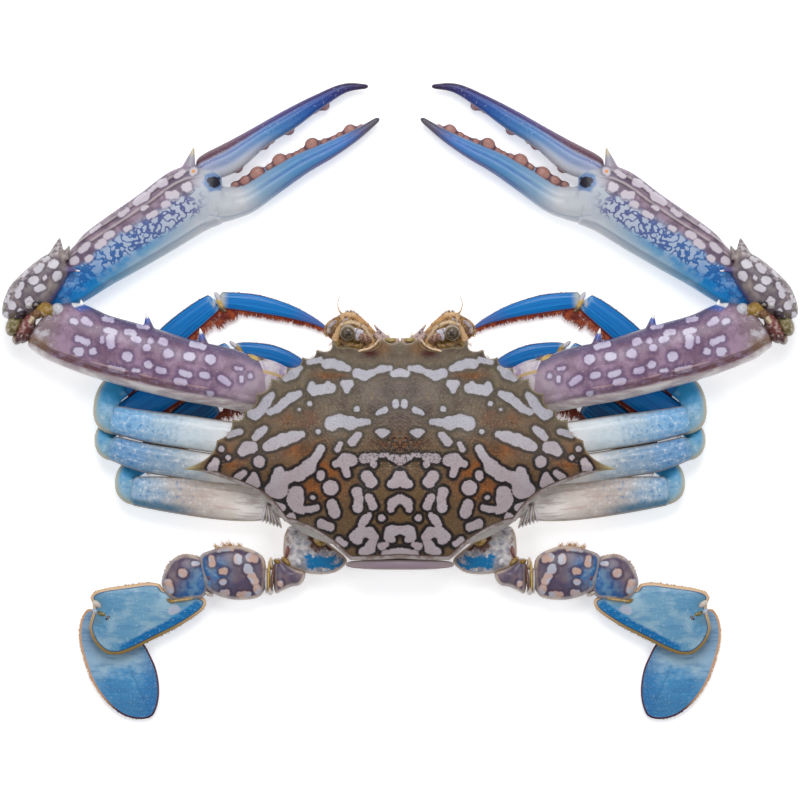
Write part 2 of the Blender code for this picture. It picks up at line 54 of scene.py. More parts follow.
# Pale blotches on the right half: each is a run of round dabs, x, y and radius.
BLOTCHES = [
    [(0, 9.8, 1.4), (2.5, 9.3, 1.1)],
    [(3.6, 11.3, 0.9), (6.5, 11.1, 1.1), (10, 9.6, 1.1), (12.8, 8.7, 1.5), (15.3, 9.6, 1.6)],
    [(18.4, 11.2, 1.1), (21.5, 12.2, 1.5), (24, 12.9, 1.5), (26.2, 12.9, 1.6)],
    [(28.5, 14.4, 1.0), (32.5, 13.4, 0.9)],
    [(35.8, 11.3, 1.1), (38, 9.4, 1.6), (40.5, 7.8, 1.3)], [(17.6, 5.8, 1.3), (20, 5.9, 1.3)],
    [(18.9, 5.2, 1.9), (18.9, 3.2, 0.9)], [(24.3, 4.2, 1.6), (27.2, 4.0, 1.6), (30.6, 3.4, 1.8)],
    [(25.8, 5.4, 1.2)],
    [(31.2, 5.4, 1.2), (31.4, 3.8, 1.5)], [(32, -1.4, 0.8)], [(35.8, -3.4, 0.6)],
    [(35.8, 2.2, 1.1), (38.6, 1.0, 1.5), (41.3, -1.0, 1.4), (43.5, -3.0, 1.2), (46.2, -4.4, 1.1)],
    [(45.6, 1.8, 1.1), (47.5, -0.6, 1.5), (49.5, -3.6, 1.5), (51.5, -5.2, 1.7), (53, -4.8, 1.5)],
    [(1.6, -0.9, 1.1), (1.6, -1.8, 1.1)], [(5.4, -3.4, 1.1), (8, -4.8, 0.7)], [(15.3, -3.2, 1.0)],
    [(11.5, -7.6, 1.1), (14, -8.0, 1.1), (17.5, -8.3, 2.1), (21.5, -7.2, 2.0), (24.3, -8.4, 2.5)],
    [(4.2, -11.3, 0.6), (6.2, -11.8, 1.3), (8, -11.2, 0.6)], [(14.9, -12.4, 1.2), (16.9, -14.9, 1.5)],
    [(21.2, -15.4, 0.8), (22.2, -17.6, 1.0)], [(29, -11.3, 0.9)],
    [(34.8, -12.2, 1.2), (38, -12.9, 1.8), (41.5, -14.2, 2.1), (45, -15.6, 1.8), (47.3, -16.6, 1.5)],
    [(48.3, -10.4, 1.2), (50, -11.8, 1.4), (51.4, -13.2, 1.3)],
    [(52.4, -16.8, 1.9), (54.5, -17, 2.0), (56.2, -18.4, 1.6)],
    [(57, -11.2, 1.1), (59.5, -11.9, 1.0), (61, -12.8, 0.9)], [(63.5, -17.3, 1.1)], [(61.2, -20.6, 0.9)],
    [(50, -21.9, 2.0)], [(65.6, -21.8, 1.3), (66.6, -24.4, 1.9)], [(55.6, -26, 1.2), (58, -27.8, 1.3)],
    [(51.9, -26.6, 1.0), (51.2, -30, 1.4)], [(52, -27, 1.0), (54.2, -29.8, 1.1)],
    [(28, -17.2, 1.4), (29.6, -20, 1.2), (32.5, -23.8, 2.4), (36, -26.4, 2.2), (40, -27.4, 1.9),
     (42.8, -28.6, 3.0),
     (43.5, -31.8, 3.2), (45.6, -32, 2.4)],
    [(43, -25.6, 1.9)], [(36.8, -33, 2.5), (37.2, -35.5, 2.8), (36.4, -38.2, 1.8), (34.8, -39.6, 1.1)],
    [(29.6, -38.2, 1.1), (32, -38.9, 1.0), (34.5, -38.6, 1.0)], [(31, -34.6, 0.8)], [(24.6, -31.2, 2.6)],
    [(28.1, -26.4, 1.3), (28.1, -27.3, 1.3)], [(17.4, -21.4, 2.2), (19.6, -21.4, 2.2), (22.8, -22.8, 1.2)],
    [(19.6, -23.5, 1.6), (18.8, -26.4, 1.2)], [(24.2, -37, 1.8), (23.2, -40, 2.0)],
    [(24.8, -45.2, 1.5), (27.8, -44, 1.7)], [(19.6, -51.2, 1.1), (21.8, -49.8, 1.1)], [(38.8, -42, 1.7)],
    [(42, -38.4, 1.3), (44.6, -37.4, 1.2)], [(0, -21.4, 1.8), (3.4, -20.3, 1.0)],
    [(4.6, -19.4, 0.7), (6.8, -19.6, 0.8)],
    [(9.2, -20.4, 1.4), (13, -20.8, 1.6)], [(9.4, -22.8, 1.3)],
    [(11.8, -27, 2.0), (10.2, -29.2, 2.0)], [(0.6, -26.6, 1.4), (1.4, -29.2, 1.8), (3, -29.8, 1.4)],
    [(11, -34.6, 1.4), (9.6, -37.6, 1.5)], [(15.2, -32.8, 2.0), (14.6, -35.4, 1.3), (15, -38, 1.9)],
    [(0.5, -35.2, 1.6), (2.8, -36.6, 1.4), (3.2, -38.8, 1.1)], [(6.5, -41.8, 1.2)],
    [(11, -41, 1.0), (12.6, -42.6, 1.3), (13.6, -44.4, 1.2)],
    [(0.4, -46.2, 1.4), (3.2, -46.6, 1.9), (4, -48.8, 1.5), (2.6, -49.8, 0.9)],
    [(9, -48.6, 1.4), (10.8, -47, 1.7), (14, -47, 1.9), (16, -48.6, 1.7), (15, -50, 1.5)],
    [(9.8, -50.4, 1.5), (10.8, -53, 1.7), (13.4, -53.9, 1.3)], [(4.8, -51.4, 0.9), (6.6, -52, 1.4)],
    [(0.5, -53.6, 1.1), (2.5, -54.3, 1.1), (5.5, -54.6, 1.1)],
]


def tone(red, green, blue):
    """A colour as the eye reads it, 0 to 255, as a linear one."""
    share = [c / 255 for c in (red, green, blue)]
    return tuple(c / 12.92 if c < 0.04045 else ((c + 0.055) / 1.055) ** 2.4 for c in share) + (1.0,)


def along_curve(rows, count):
    """Catmull-Rom through rows of numbers, evenly spaced from row to row."""
    rows = np.asarray(rows, float)
    pad = np.vstack([2 * rows[0] - rows[1], rows, 2 * rows[-1] - rows[-2]])
    place = np.linspace(0, len(rows) - 1, count)
    i = np.minimum(place.astype(int), len(rows) - 2)
    f = (place - i)[:, None]
    a, b = pad[i + 1], pad[i + 2]
    slope_a, slope_b = (b - pad[i]) / 2, (pad[i + 3] - a) / 2
    ease = 3 * f**2 - 2 * f**3
    return a * (1 - ease) + b * ease + slope_a * (f**3 - 2 * f**2 + f) + slope_b * (f**3 - f**2)


def gone_along(line):
    """The length of a line from its start to each of its points."""
    return np.concatenate([[0], np.cumsum(np.linalg.norm(np.diff(line, axis=0), axis=1))])


def read_off(stops, gone, rows):
    """The rows at given lengths along a line."""
    return np.column_stack([np.interp(stops, gone, column) for column in rows.T])


def bent(start, pull, end, count=14):
    """An arc from start to end, drawn towards pull."""
    start, pull, end = (np.array(p, float) for p in (start, pull, end))
    f = np.linspace(0, 1, count, endpoint=False)[:, None]
    return start * (1 - f) ** 2 + 2 * pull * f * (1 - f) + end * f**2


def shell_edge():
    """The right half of the shell's edge, from the middle of the front to the middle of the back."""
    runs = [
        bent((0, 21.2), (2.6, 18.6), (6.5, 22.0)), bent((6.5, 22.0), (8.4, 16.4), (14.6, 18.0), 24),
        bent((14.6, 18.0), (18.5, 19.2), (21, 18.5)), bent((21, 18.5), (22.6, 18.6), SIDE_TEETH[0]),
    ]
    for tip, following in zip(SIDE_TEETH, SIDE_TEETH[1:]):
        step = np.array(following) - np.array(tip)
        out = np.array([-step[1], step[0]]) / np.linalg.norm(step)
        deep = 6.0 if tip == SIDE_TEETH[0] else 4.0
        runs.append(bent(tip, np.array(tip) + step * 0.42 - out * deep, following, 16))
    runs.append(bent(SIDE_TEETH[-1], (65.6, -21.5), SPINE_TIP, 40))
    rear = [(77.6, -24.6), (70, -25.7), (60, -29), (50, -33.6), (45.4, -37.6), (41.2, -43.2)]
    runs.append(along_curve(rear, 100)[:-1])
    hip = [(41.2, -43.2), (38, -43.9), (33, -45.8), (28, -48.7), (24, -51.4), (20.6, -54.6), (17.6, -57)]
    runs.append(along_curve(hip, 70)[:-1])
    runs.append(along_curve([(17.6, -57), (9, -56.9), (0, -56.4)], 30))
    line = np.vstack(runs)
    gone = gone_along(line)
    even = np.linspace(0, gone[-1], int(gone[-1] / 0.42))
    return read_off(even, gone, line[:, :2])


def hill(flat, x, y, wide, deep, high):
    """A low rounded rise on both halves of the back."""
    return high * np.exp(-(((np.abs(flat[:, 0]) - x) / wide) ** 2) - ((flat[:, 1] - y) / deep) ** 2)


def back_height(flat, share):
    """Height of the shell's outer face: a dome, with the lobes of stomach, gills and heart."""
    rim = RIM - 3.2 * np.minimum(np.abs(flat[:, 0]) / SPINE_TIP[0], 1.0) ** 1.3
    high = rim + (CROWN - 0.6 - rim) * np.maximum(0.0, 1 - share**2.2) ** 0.8
    lobes = (
        hill(flat, 10, 4, 9, 9, 0.7) + hill(flat, 36, -14, 13, 9, 1.0) + hill(flat, 7, -34, 6, 8, 0.9)
        + hill(flat, 24, -36, 8, 9, 0.6) - hill(flat, 15.5, -30, 2.6, 12, 0.9)
        - hill(flat, 21, -8, 3.0, 7, 0.6) - hill(flat, 0, -23, 9, 2.2, 0.5)
    )
    return high + lobes * (1 - share**4)


def capsule_distance(flat, chains):
    """How far each place lies outside the nearest marking, in mm; inside one it is below 0."""
    best = np.full(len(flat), 60.0)
    here = np.column_stack([np.abs(flat[:, 0]), flat[:, 1]])
    for chain in chains:
        whole = None
        for a, b in zip(chain, chain[1:] or chain):
            a, b = np.array(a, float), np.array(b, float)
            step = b[:2] - a[:2]
            f = np.clip((here - a[:2]) @ step / max(step @ step, 1e-9), 0, 1)
            apart = np.linalg.norm(here - a[:2] - f[:, None] * step, axis=1) - a[2] - f * (b[2] - a[2])
            if whole is None:
                whole = apart
            else:
                near = np.maximum(1.0 - np.abs(whole - apart), 0)
                whole = np.minimum(whole, apart) - near**2 / 4
        best = np.minimum(best, whole)
    return best


def outline_distance(flat, ring):
    """How far each place lies from a closed outline, in mm."""
    best = np.full(len(flat), 60.0)
    for a, b in zip(ring, np.roll(ring, -1, axis=0)):
        step = b - a
        f = np.clip((flat - a) @ step / max(step @ step, 1e-9), 0, 1)
        best = np.minimum(best, np.linalg.norm(flat - a - f[:, None] * step, axis=1))
    return best


class Finish:
    """Lays out one surface finish as nodes; sizes in it are in mm, and both halves mirror.

    A value may be a number, a node's output, the name of a mark or a colour of 0 to 255. A share
    of a mix may also be a band: a value, where it counts for nothing and where it counts in full.
    """

    def __init__(self, name, roughness=0.35, coat=0.0):
        self.material = bpy.data.materials.new(name)
        self.material.use_nodes = True
        self.tree = self.material.node_tree
        self.shader = self.tree.nodes["Principled BSDF"]
        self.normal = None
        for socket, value in (
            ("Roughness", roughness), ("Coat Weight", coat), ("Coat Roughness", 0.12),
            ("Specular IOR Level", 0.32),
        ):
            self.shader.inputs[socket].default_value = value
        split = self.node("SeparateXYZ", {0: self.node("TexCoord").outputs["Object"]})
        half = self.node("CombineXYZ", {
            0: self.math("ABSOLUTE", split.outputs[0]), 1: split.outputs[1], 2: split.outputs[2],
        })
        scaled = self.node("VectorMath", {0: half.outputs[0], "Scale": 1 / MM}, operation="SCALE")
        self.place = scaled.outputs[0]

    def node(self, kind, given=None, **settings):
        """One node of a kind, with its settings and the values given to its inputs."""
        made = self.tree.nodes.new("ShaderNode" + kind)
        for name, value in settings.items():
            setattr(made, name, value)
        for socket, value in (given or {}).items():
            self.put(made.inputs[socket], value)
        return made

    def put(self, socket, value):
        if isinstance(value, str):
            value = self.mark(value)
        if isinstance(value, bpy.types.NodeSocket):
            self.tree.links.new(value, socket)
        else:
            socket.default_value = tone(*value) if socket.type == "RGBA" else value

    def math(self, operation, a, b=0.0):
        return self.node("Math", {0: a, 1: b}, operation=operation).outputs[0]

    def mark(self, name):
        return self.node("Attribute", attribute_name=name).outputs["Fac"]

    def noise(self, size, detail=2.0, roughness=0.5, shift=0.0, stretch=(0, 1)):
        """Cloudy lumps of a size; stretch says which way they are drawn out, and how many times."""
        place = self.node("Mapping", {
            0: self.place, "Location": (shift, shift * 1.7, 0), "Rotation": (0, 0, math.radians(stretch[0])),
            "Scale": (1 / stretch[1], 1, 1),
        })
        given = {"Vector": place.outputs[0], "Scale": 1 / size, "Detail": detail, "Roughness": roughness}
        return self.node("TexNoise", given).outputs["Fac"]

    def streaks(self, lengthwise, across, shift=0.0):
        """Fine lines that follow a limb, from its marks along and side."""
        place = self.node("CombineXYZ", {
            0: self.math("MULTIPLY", "along", lengthwise), 1: self.math("MULTIPLY", "side", across * 0.5),
            2: shift,
        })
        given = {"Vector": place.outputs[0], "Scale": 1.0, "Detail": 3.0, "Roughness": 0.6}
        return self.node("TexNoise", given).outputs["Fac"]

    def cells(self, size):
        return self.node("TexVoronoi", {"Vector": self.place, "Scale": 1 / size}).outputs["Distance"]

    def band(self, value, low, high):
        """0 below low, 1 above high and smooth between; low may be the larger."""
        ends = (low, high, 0.0, 1.0) if low <= high else (high, low, 1.0, 0.0)
        given = dict(zip(("From Min", "From Max", "To Min", "To Max"), ends), Value=value)
        return self.node("MapRange", given, interpolation_type="SMOOTHSTEP").outputs["Result"]

    def times(self, *shares):
        shares = [self.band(*share) if isinstance(share, tuple) else share for share in shares]
        result = shares[0]
        for share in shares[1:]:
            result = self.math("MULTIPLY", result, share)
        return result

    def mix(self, under, over, *shares):
        """Lays one colour over another, as much as the product of the shares."""
        return self.node("Mix", {0: self.times(*shares), 6: under, 7: over}, data_type="RGBA").outputs[2]

    def stray(self, value, noise, by):
        """A value that a noise pushes up and down."""
        return self.math("ADD", value, self.times(self.math("SUBTRACT", noise, 0.5), by))

    def away(self, value, other):
        return self.math("ABSOLUTE", self.math("SUBTRACT", value, other))

    def ramp(self, value, stops):
        made = self.node("ValToRGB", {0: value})
        marks = made.color_ramp.elements
        while len(marks) < len(stops):
            marks.new(0.5)
        for mark, (place, colour) in zip(marks, stops):
            mark.position, mark.color = place, tone(*colour)
        return made.outputs["Color"]

    def bump(self, height, strength, distance):
        """Raises the surface by a height, on top of the bumps before."""
        given = {"Height": height, "Strength": strength, "Distance": distance * MM}
        if self.normal:
            given["Normal"] = self.normal
        self.normal = self.node("Bump", given).outputs[0]

    def done(self, colour, roughness=None):
        for socket, value in (("Base Color", colour), ("Roughness", roughness), ("Normal", self.normal)):
            if value is not None:
                self.put(self.shader.inputs[socket], value)
        return self.material


def piece(name, points, faces, marks, material, stands_for=None):
    """Makes a mesh object of points in mm, with its marks, that rides on the crab."""
    mesh = bpy.data.meshes.new(name)
    mesh.from_pydata((np.asarray(points) * MM).tolist(), [], [tuple(f) for f in np.asarray(faces, object)])
    for key, values in marks.items():
        layer = mesh.attributes.new(key, "FLOAT", "POINT")
        layer.data.foreach_set("value", np.asarray(values, np.float32))
    mesh.shade_smooth()
    mesh.materials.append(material)
    made = bpy.data.objects.new(name, mesh)
    bpy.context.scene.collection.objects.link(made)
    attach(made, "root")
    if stands_for:
        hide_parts(stands_for)


def ring_faces(rings, around):
    """Faces between rings of points, closed by fans to a point at each end, which come last."""
    a = np.arange((rings - 1) * around).reshape(rings - 1, around)
    b = np.roll(a, -1, axis=1)
    faces = np.stack([a, b, b + around, a + around], axis=2).reshape(-1, 4).tolist()
    last, end = (rings - 1) * around, rings * around
    faces += [((i + 1) % around, i, end) for i in range(around)]
    faces += [(last + i, last + (i + 1) % around, end + 1) for i in range(around)]
    return faces


half = shell_edge()
rim_line = np.vstack([half, (half * (-1, 1))[-2:0:-1]])
spokes = rim_line - MIDDLE
reach = np.linalg.norm(spokes, axis=1)
turns = np.arctan2(spokes[:, 0], spokes[:, 1])
gaps = (turns[:, None] - turns[None, :] + math.pi) % (2 * math.pi) - math.pi
weight = np.exp(-((gaps / 0.13) ** 2)) * np.gradient(np.unwrap(turns))[None, :]
smooth_reach = 0.97 * (weight @ np.minimum(reach, 66)) / weight.sum(1)
ways = spokes / reach[:, None]
rings, shares, edge_gap = [], [], []
low_rim = RIM - 3.2 * np.minimum(np.abs(rim_line[:, 0]) / SPINE_TIP[0], 1.0) ** 1.3
for inset, lift in ((0.12, None), (0.05, None), (0.0, -1.7), (0.0, -1.0), (0.12, -0.35), (0.35, -0.1)):
    flat = rim_line - ways * inset * (reach[:, None] if lift is None else 1.0)
    high = np.full(len(flat), UNDERSIDE) if lift is None else low_rim + lift
    if inset == 0.05:
        high = high + 0.4
    rings.append(np.column_stack([flat, high]))
    shares.append(np.ones(len(flat)))
for step in np.linspace(0.99, 0.02, 84) ** 0.93:
    outer = np.clip((step - 0.9) / 0.1, 0, 1)
    far = np.minimum(smooth_reach * step, (reach - 0.5) * (step + 0.01))
    far = far * (1 - outer) + (reach - 0.5) * step * outer
    flat = MIDDLE + ways * far[:, None]
    rings.append(np.column_stack([flat, back_height(flat, np.full(len(flat), step))]))
    shares.append(np.full(len(flat), step))
points = np.vstack(rings + [[[*MIDDLE, UNDERSIDE]], [[*MIDDLE, rings[-1][-1, 2] + 0.02]]])
faces = [tuple(reversed(f)) for f in ring_faces(len(rings), len(rim_line))]
flat = points[:, :2]
edge_apart = outline_distance(flat, rim_line[::2])
x, y = np.abs(flat[:, 0]), flat[:, 1]
shell_marks = {
    "blotch": capsule_distance(flat, BLOTCHES),
    "edge": edge_apart,
    "rear": np.clip((-y - 8) / 14, 0, 1),
    "rust": np.clip(
        hill(flat, 28, -29, 10, 10, 1.4) + hill(flat, 38, -17, 9, 4, 0.9) + hill(flat, 60, -21, 9, 6, 1.1)
        + hill(flat, 25, 8.6, 5, 1.6, 1.1) + hill(flat, 38, -7, 12, 3.4, 0.5), 0, 1),
    "grey": np.clip(hill(flat, 0, -1, 15, 12, 1.3) + hill(flat, 47, -25, 5, 6, 1.2), 0, 1),
    "belly": (points[:, 2] < low_rim.min() - 0.9).astype(float),
    "socket": np.clip(hill(flat, 10.5, 16.6, 3.4, 1.5, 1.6) - 0.4, 0, 1),
    "brow": np.clip(hill(flat, 6, 18.5, 2.6, 2.6, 1.3), 0, 1),
    "patch": np.clip(hill(flat, 0, -15.4, 9, 3.6, 1.5), 0, 1),
    "crack": np.clip(hill(flat, 0, -20.5, 15, 4.2, 1.3), 0, 1),
    "hem": np.where(y < -25, edge_apart, 60.0),
    "tip": np.clip((x - 70) / 6, 0, 1),
}

back = Finish("spotted shell", roughness=0.42, coat=0.06)
apart = back.stray("blotch", back.noise(2.6, 3, 0.55), 1.0)
apart = back.stray(apart, back.noise(0.7, 2, 0.6, 9), 0.7)
grain = back.noise(0.9, 3, 0.65, 4)
cloud = back.noise(9, 4, 0.6, 2)
ground = back.mix((116, 104, 86), (88, 72, 62), (cloud, 0.35, 0.68))
ground = back.mix(ground, back.mix((94, 78, 72), (72, 56, 52), (cloud, 0.4, 0.62)), "grey", 0.85)
rust = back.mix((136, 74, 18), (92, 54, 24), (back.noise(6, 3, 0.6, 21), 0.4, 0.65))
ground = back.mix(ground, rust, "rust", 0.9)
dusk = back.times("rear", back.math("SUBTRACT", 1.0, "rust"), 0.8)
ground = back.mix(ground, (102, 74, 42), dusk)
ground = back.mix(ground, (166, 138, 88), (grain, 0.56, 0.72), 0.42)
ground = back.mix(ground, (44, 34, 30), (grain, 0.44, 0.28), 0.65)
ground = back.mix(ground, (112, 64, 28), "patch", (back.noise(1.6, 3, 0.7, 6), 0.42, 0.6))
strands = back.away(back.noise(1.5, 2, 0.6, 17), 0.5)
ground = back.mix(ground, (30, 20, 20), "patch", (strands, 0.06, 0.02))
beads = back.cells(0.9)
ground = back.mix(ground, (176, 150, 104), (beads, 0.3, 0.12), (back.noise(5, 2, 0.5, 12), 0.4, 0.6), 0.4)
ring = back.mix((70, 66, 56), (24, 17, 18), "rear")
halo = back.times((apart, 1.7, 0.8), back.math("ADD", 0.6, back.math("MULTIPLY", "rear", 0.38)))
colour = back.mix(ground, ring, halo)
pale = back.mix((176, 173, 182), (178, 162, 166), "rear")
pale = back.mix(pale, (190, 186, 194), (cloud, 0.4, 0.7), 0.4)
pale = back.mix(pale, (128, 116, 124), (grain, 0.5, 0.75), 0.45)
colour = back.mix(colour, pale, (apart, 0.28, -0.18))
colour = back.mix(colour, (34, 28, 26), "crack", (strands, 0.045, 0.012), 0.85)
colour = back.mix(colour, (196, 190, 170), "crack", (back.noise(1.1, 3, 0.7, 31), 0.6, 0.68), 0.7)
colour = back.mix(colour, (120, 88, 56), "brow", 0.8)
colour = back.mix(colour, (66, 22, 14), "socket")
lip = back.mix((176, 164, 168), (132, 112, 108), (back.noise(3, 2, 0.5, 3), 0.4, 0.6))
colour = back.mix(colour, (92, 68, 50), ("hem", 1.9, 1.5))
colour = back.mix(colour, lip, ("hem", 1.4, 1.1))
colour = back.mix(colour, (176, 160, 128), ("edge", 0.7, 0.3), 0.4)
colour = back.mix(colour, (184, 170, 120), "tip")
colour = back.mix(colour, (214, 204, 194), "belly")
back.bump(beads, 0.7, 0.2)
back.bump(grain, 0.4, 0.14)
back.bump(cloud, 0.35, 0.7)
spotted_shell = back.done(colour, back.math("ADD", 0.32, back.math("MULTIPLY", grain, 0.22)))
piece("shell_back", points, faces, shell_marks, spotted_shell, "carapace")

# ------------------------------------------------------------------ the underside and the tail
# Below the shell the body narrows to a flat breastplate of pale plates, fused along fine seams.
# The tail of a male is a narrow folded plate: it shows as a strip behind the shell, turns down
# and lies along the breast.

BODY_LEVELS = [  # height, half width, front end, back end
    (UNDERSIDE - 0.35, 56, 16.5, -54), (14.5, 44, 16, -55), (11, 34.2, 14.5, -55.4),
    (6, 32.5, 12, -55), (3.6, 28, 8, -52), (2.6, 22, 3, -47),
]
TAIL_FOLD = [  # x, y, height, breadth, thickness
    (0, -58.5, 21.2, 39, 3.6), (0, -58.8, 16, 36, 3.2), (0, -59, 9, 28, 3), (0, -56, 3.1, 23, 2.6),
    (0, -48, 1.2, 19, 2.2), (0, -30, 1.05, 13, 2.1), (0, -8, 1.05, 3.6, 1.9),
]


def limb(stations, ends=(1.5, 1.5), square=2.3, step=0.6, around=44, upright=True, swell=None):
    """A jointed piece as a loft of rounded sections; returns points, faces and where each lies.

    A station is x, y, height, breadth, thickness and the turn of its section in degrees.
    """
    fine = along_curve([tuple(s) + (0,) * (6 - len(s)) for s in stations], 300)
    gone = gone_along(fine[:, :3])
    length = gone[-1]
    arc = 1 - np.cos(np.linspace(0.12, math.pi / 2, 8))
    body = np.linspace(ends[0], length - ends[1], max(int((length - sum(ends)) / step), 2))
    stops = np.concatenate([arc[:-1] * ends[0], body, length - arc[:-1][::-1] * ends[1]])
    rows = read_off(stops, gone, fine)
    slope = np.gradient(fine[:, :3], axis=0)
    ahead = read_off(stops, gone, slope)
    near = np.clip(1 - stops / ends[0], 0, 1), np.clip(1 - (length - stops) / ends[1], 0, 1)
    share = np.sqrt(np.maximum(1 - near[0] ** 2.3, 0)) * np.sqrt(np.maximum(1 - near[1] ** 2.3, 0))
    if upright:
        way = np.arctan2(-ahead[:, 0], ahead[:, 1]) + np.radians(rows[:, 5])
        right = np.column_stack([np.cos(way), np.sin(way), way * 0])
        up = np.tile([0.0, 0.0, 1.0], (len(rows), 1))
    else:
        right = np.tile([1.0, 0.0, 0.0], (len(rows), 1))
        up = np.cross(right, ahead)
        up /= np.linalg.norm(up, axis=1)[:, None]
    turn = 2 * math.pi * (np.arange(around) + 0.5) / around
    side = np.sign(np.cos(turn)) * np.abs(np.cos(turn)) ** (2 / square)
    over = np.sign(np.sin(turn)) * np.abs(np.sin(turn)) ** (2 / square)
    along = np.repeat(stops / length, around)
    sides, overs = np.tile(side, len(stops)), np.tile(over, len(stops))
    wide = rows[:, 3:4] / 2 * share[:, None] * side
    tall = rows[:, 4:5] / 2 * share[:, None] * over
    points = rows[:, None, :3] + right[:, None] * wide[..., None] + up[:, None] * tall[..., None]
    points = points.reshape(-1, 3)
    if swell is not None:
        lift = swell(along, sides, overs) * np.repeat(share, around)
        outward = (right[:, None] * side[:, None] + up[:, None] * over[:, None]).reshape(-1, 3)
        points = points + outward * lift[:, None]
    points = np.vstack([points, fine[0, :3], fine[-1, :3]])
    points[:, 2] = np.maximum(points[:, 2], 0.0)
    faces = [tuple(reversed(f)) for f in ring_faces(len(stops), around)]
    marks = {
        "along": np.append(along, [0, 1]), "side": np.append(sides, [0, 0]),
        "top": np.append(overs, [0, 0]),
    }
    return points, faces, marks


def facing_out(points, faces):
    """Turns all faces over if the closed shape they make is inside out."""
    points = np.asarray(points)
    volume = 0.0
    for size in (3, 4):
        some = np.array([f for f in faces if len(f) == size])
        if len(some):
            for k in range(1, size - 1):
                a, b, c = points[some[:, 0]], points[some[:, k]], points[some[:, k + 1]]
                volume += np.einsum("ij,ij->", a, np.cross(b, c))
    return faces if volume > 0 else [tuple(reversed(f)) for f in faces]


def pair(name, points, faces, marks, material, slot, node=None):
    """The right piece and its mirror image on the left."""
    faces = facing_out(points, faces)
    piece(name + "_right", points, faces, marks, material, node and node + "_R")
    flipped = [tuple(reversed(f)) for f in faces]
    piece(name + "_left", points * (-1, 1, 1), flipped, marks, material, node and node + "_L")


levels = along_curve(BODY_LEVELS, 40)
turn = np.linspace(0, 2 * math.pi, 200, endpoint=False)
body_rings = []
for high, wide, front, end in levels:
    bow = np.abs(np.cos(turn)) ** 0.85 * np.sign(np.cos(turn))
    out = np.abs(np.sin(turn)) ** 0.75 * np.sign(np.sin(turn)) * wide
    out = out * (1 - 0.16 * np.maximum(0, -np.cos(turn)))
    body_rings.append(np.column_stack([out, (front + end) / 2 + (front - end) / 2 * bow, turn * 0 + high]))
for shrink in np.linspace(0.96, 0.02, 60):
    middle = np.array([0, -22, 0])
    body_rings.append(middle + (body_rings[39] - middle) * (shrink, shrink, 1))
points = np.vstack(body_rings + [[[0, -20, UNDERSIDE - 0.35]], [[0, -22, 2.6]]])
faces = facing_out(points, ring_faces(len(body_rings), 200))
x, y = np.abs(points[:, 0]), points[:, 1]
seam = np.full(len(points), 9.0)
for start in (2, -8, -17, -26, -35, -44):  # each plate's seam runs out and a little forward
    seam = np.minimum(seam, np.abs(y - start - 0.16 * (x - 8)) + 9 * (x < 6))
seam = np.minimum(seam, np.abs(x - 8.5 - 0.22 * np.maximum(-y - 8, 0) * 0.5) + 9 * (y < -40))
belly = Finish("pale belly shell", roughness=0.36, coat=0.1)
stain = belly.noise(7, 4, 0.6)
colour = belly.mix((238, 232, 224), (214, 204, 208), (stain, 0.38, 0.66))
colour = belly.mix(colour, (190, 168, 140), (belly.noise(1.1, 3, 0.6, 3), 0.58, 0.7), 0.3)
colour = belly.mix(colour, (150, 134, 128), ("seam", 0.8, 0.2))
belly.bump(belly.band("seam", 0.0, 1.2), 0.8, 0.5)
belly.bump(belly.noise(1.4, 3, 0.6), 0.3, 0.12)
belly_shell = belly.done(colour)
piece("breastplate", points, faces, {"seam": seam}, belly_shell, "underbody")


def tail_lift(along, side, top):
    """Each ring of the tail is a little raised in the middle and dips at its joint."""
    ring = np.abs(((along * 6.4) % 1) - 0.5) * 2
    return 0.18 * (1 - ring**6) - 0.18


points, faces, marks = limb(
    TAIL_FOLD, ends=(0.9, 1.5), square=3.2, step=0.5, around=72, upright=False, swell=tail_lift
)
marks["joint"] = np.abs(((marks["along"] * 6.4) % 1) - 0.5) * 2
tail = Finish("tail shell", roughness=0.38, coat=0.06)
streak = tail.noise(2.2, 3, 0.6, 5, (0, 6))
colour = tail.mix((176, 160, 154), (138, 122, 120), (streak, 0.4, 0.62))
colour = tail.mix(colour, (150, 128, 150), ("joint", 0.9, 0.98))
colour = tail.mix(colour, (138, 122, 124), ("along", 0.05, 0.0), 0.6)
tail.bump(streak, 0.3, 0.2)
tail_shell = tail.done(colour)
piece("folded_tail", points, facing_out(points, faces), marks, tail_shell, "abdomen")

# ------------------------------------------------------------------ the claw limbs
# Each claw limb is a short base, a long spined arm, a knuckle-like wrist and a prismatic palm
# that ends in a fixed finger, with a second finger hinged on it. All are hard glossy shell,
# mauve with white spots on the arm and wrist, and blue on the palm and fingers; the biting
# edges carry rounded brown teeth.

ARM_BASE = [
    (34.9, 1.6, 7.4, 10.5, 8.6), (40, 4, 8.2, 13, 10), (47, 6, 9.6, 16.5, 12), (53.6, 6.8, 10.8, 17, 12.4),
]
ARM = [
    (45, 1.6, 9.4, 14, 9), (53.6, 5.0, 12, 19.4, 12.5), (62, 7.8, 13.4, 21.4, 14.6),
    (76, 10.6, 14.8, 22, 16.2),
    (92, 15, 15, 23, 16.6), (108, 19.6, 15, 23, 16.6, 6), (120, 24.4, 14.4, 23.5, 15.4, 14),
    (129.8, 26.6, 13.4, 15.5, 13.4, 22),
]
WRIST = [
    (138.0, 28.4, 11.6, 7.0, 10, -14), (136.4, 32.0, 11.6, 11.6, 12.4, -16),
    (132.4, 36.8, 11, 15.8, 14.4, -10),
    (128.6, 41.2, 10.2, 14.8, 14.8, -4), (124.0, 46, 9.8, 12.8, 14, 2), (119.6, 49.6, 9.4, 9.6, 12, 0),
]
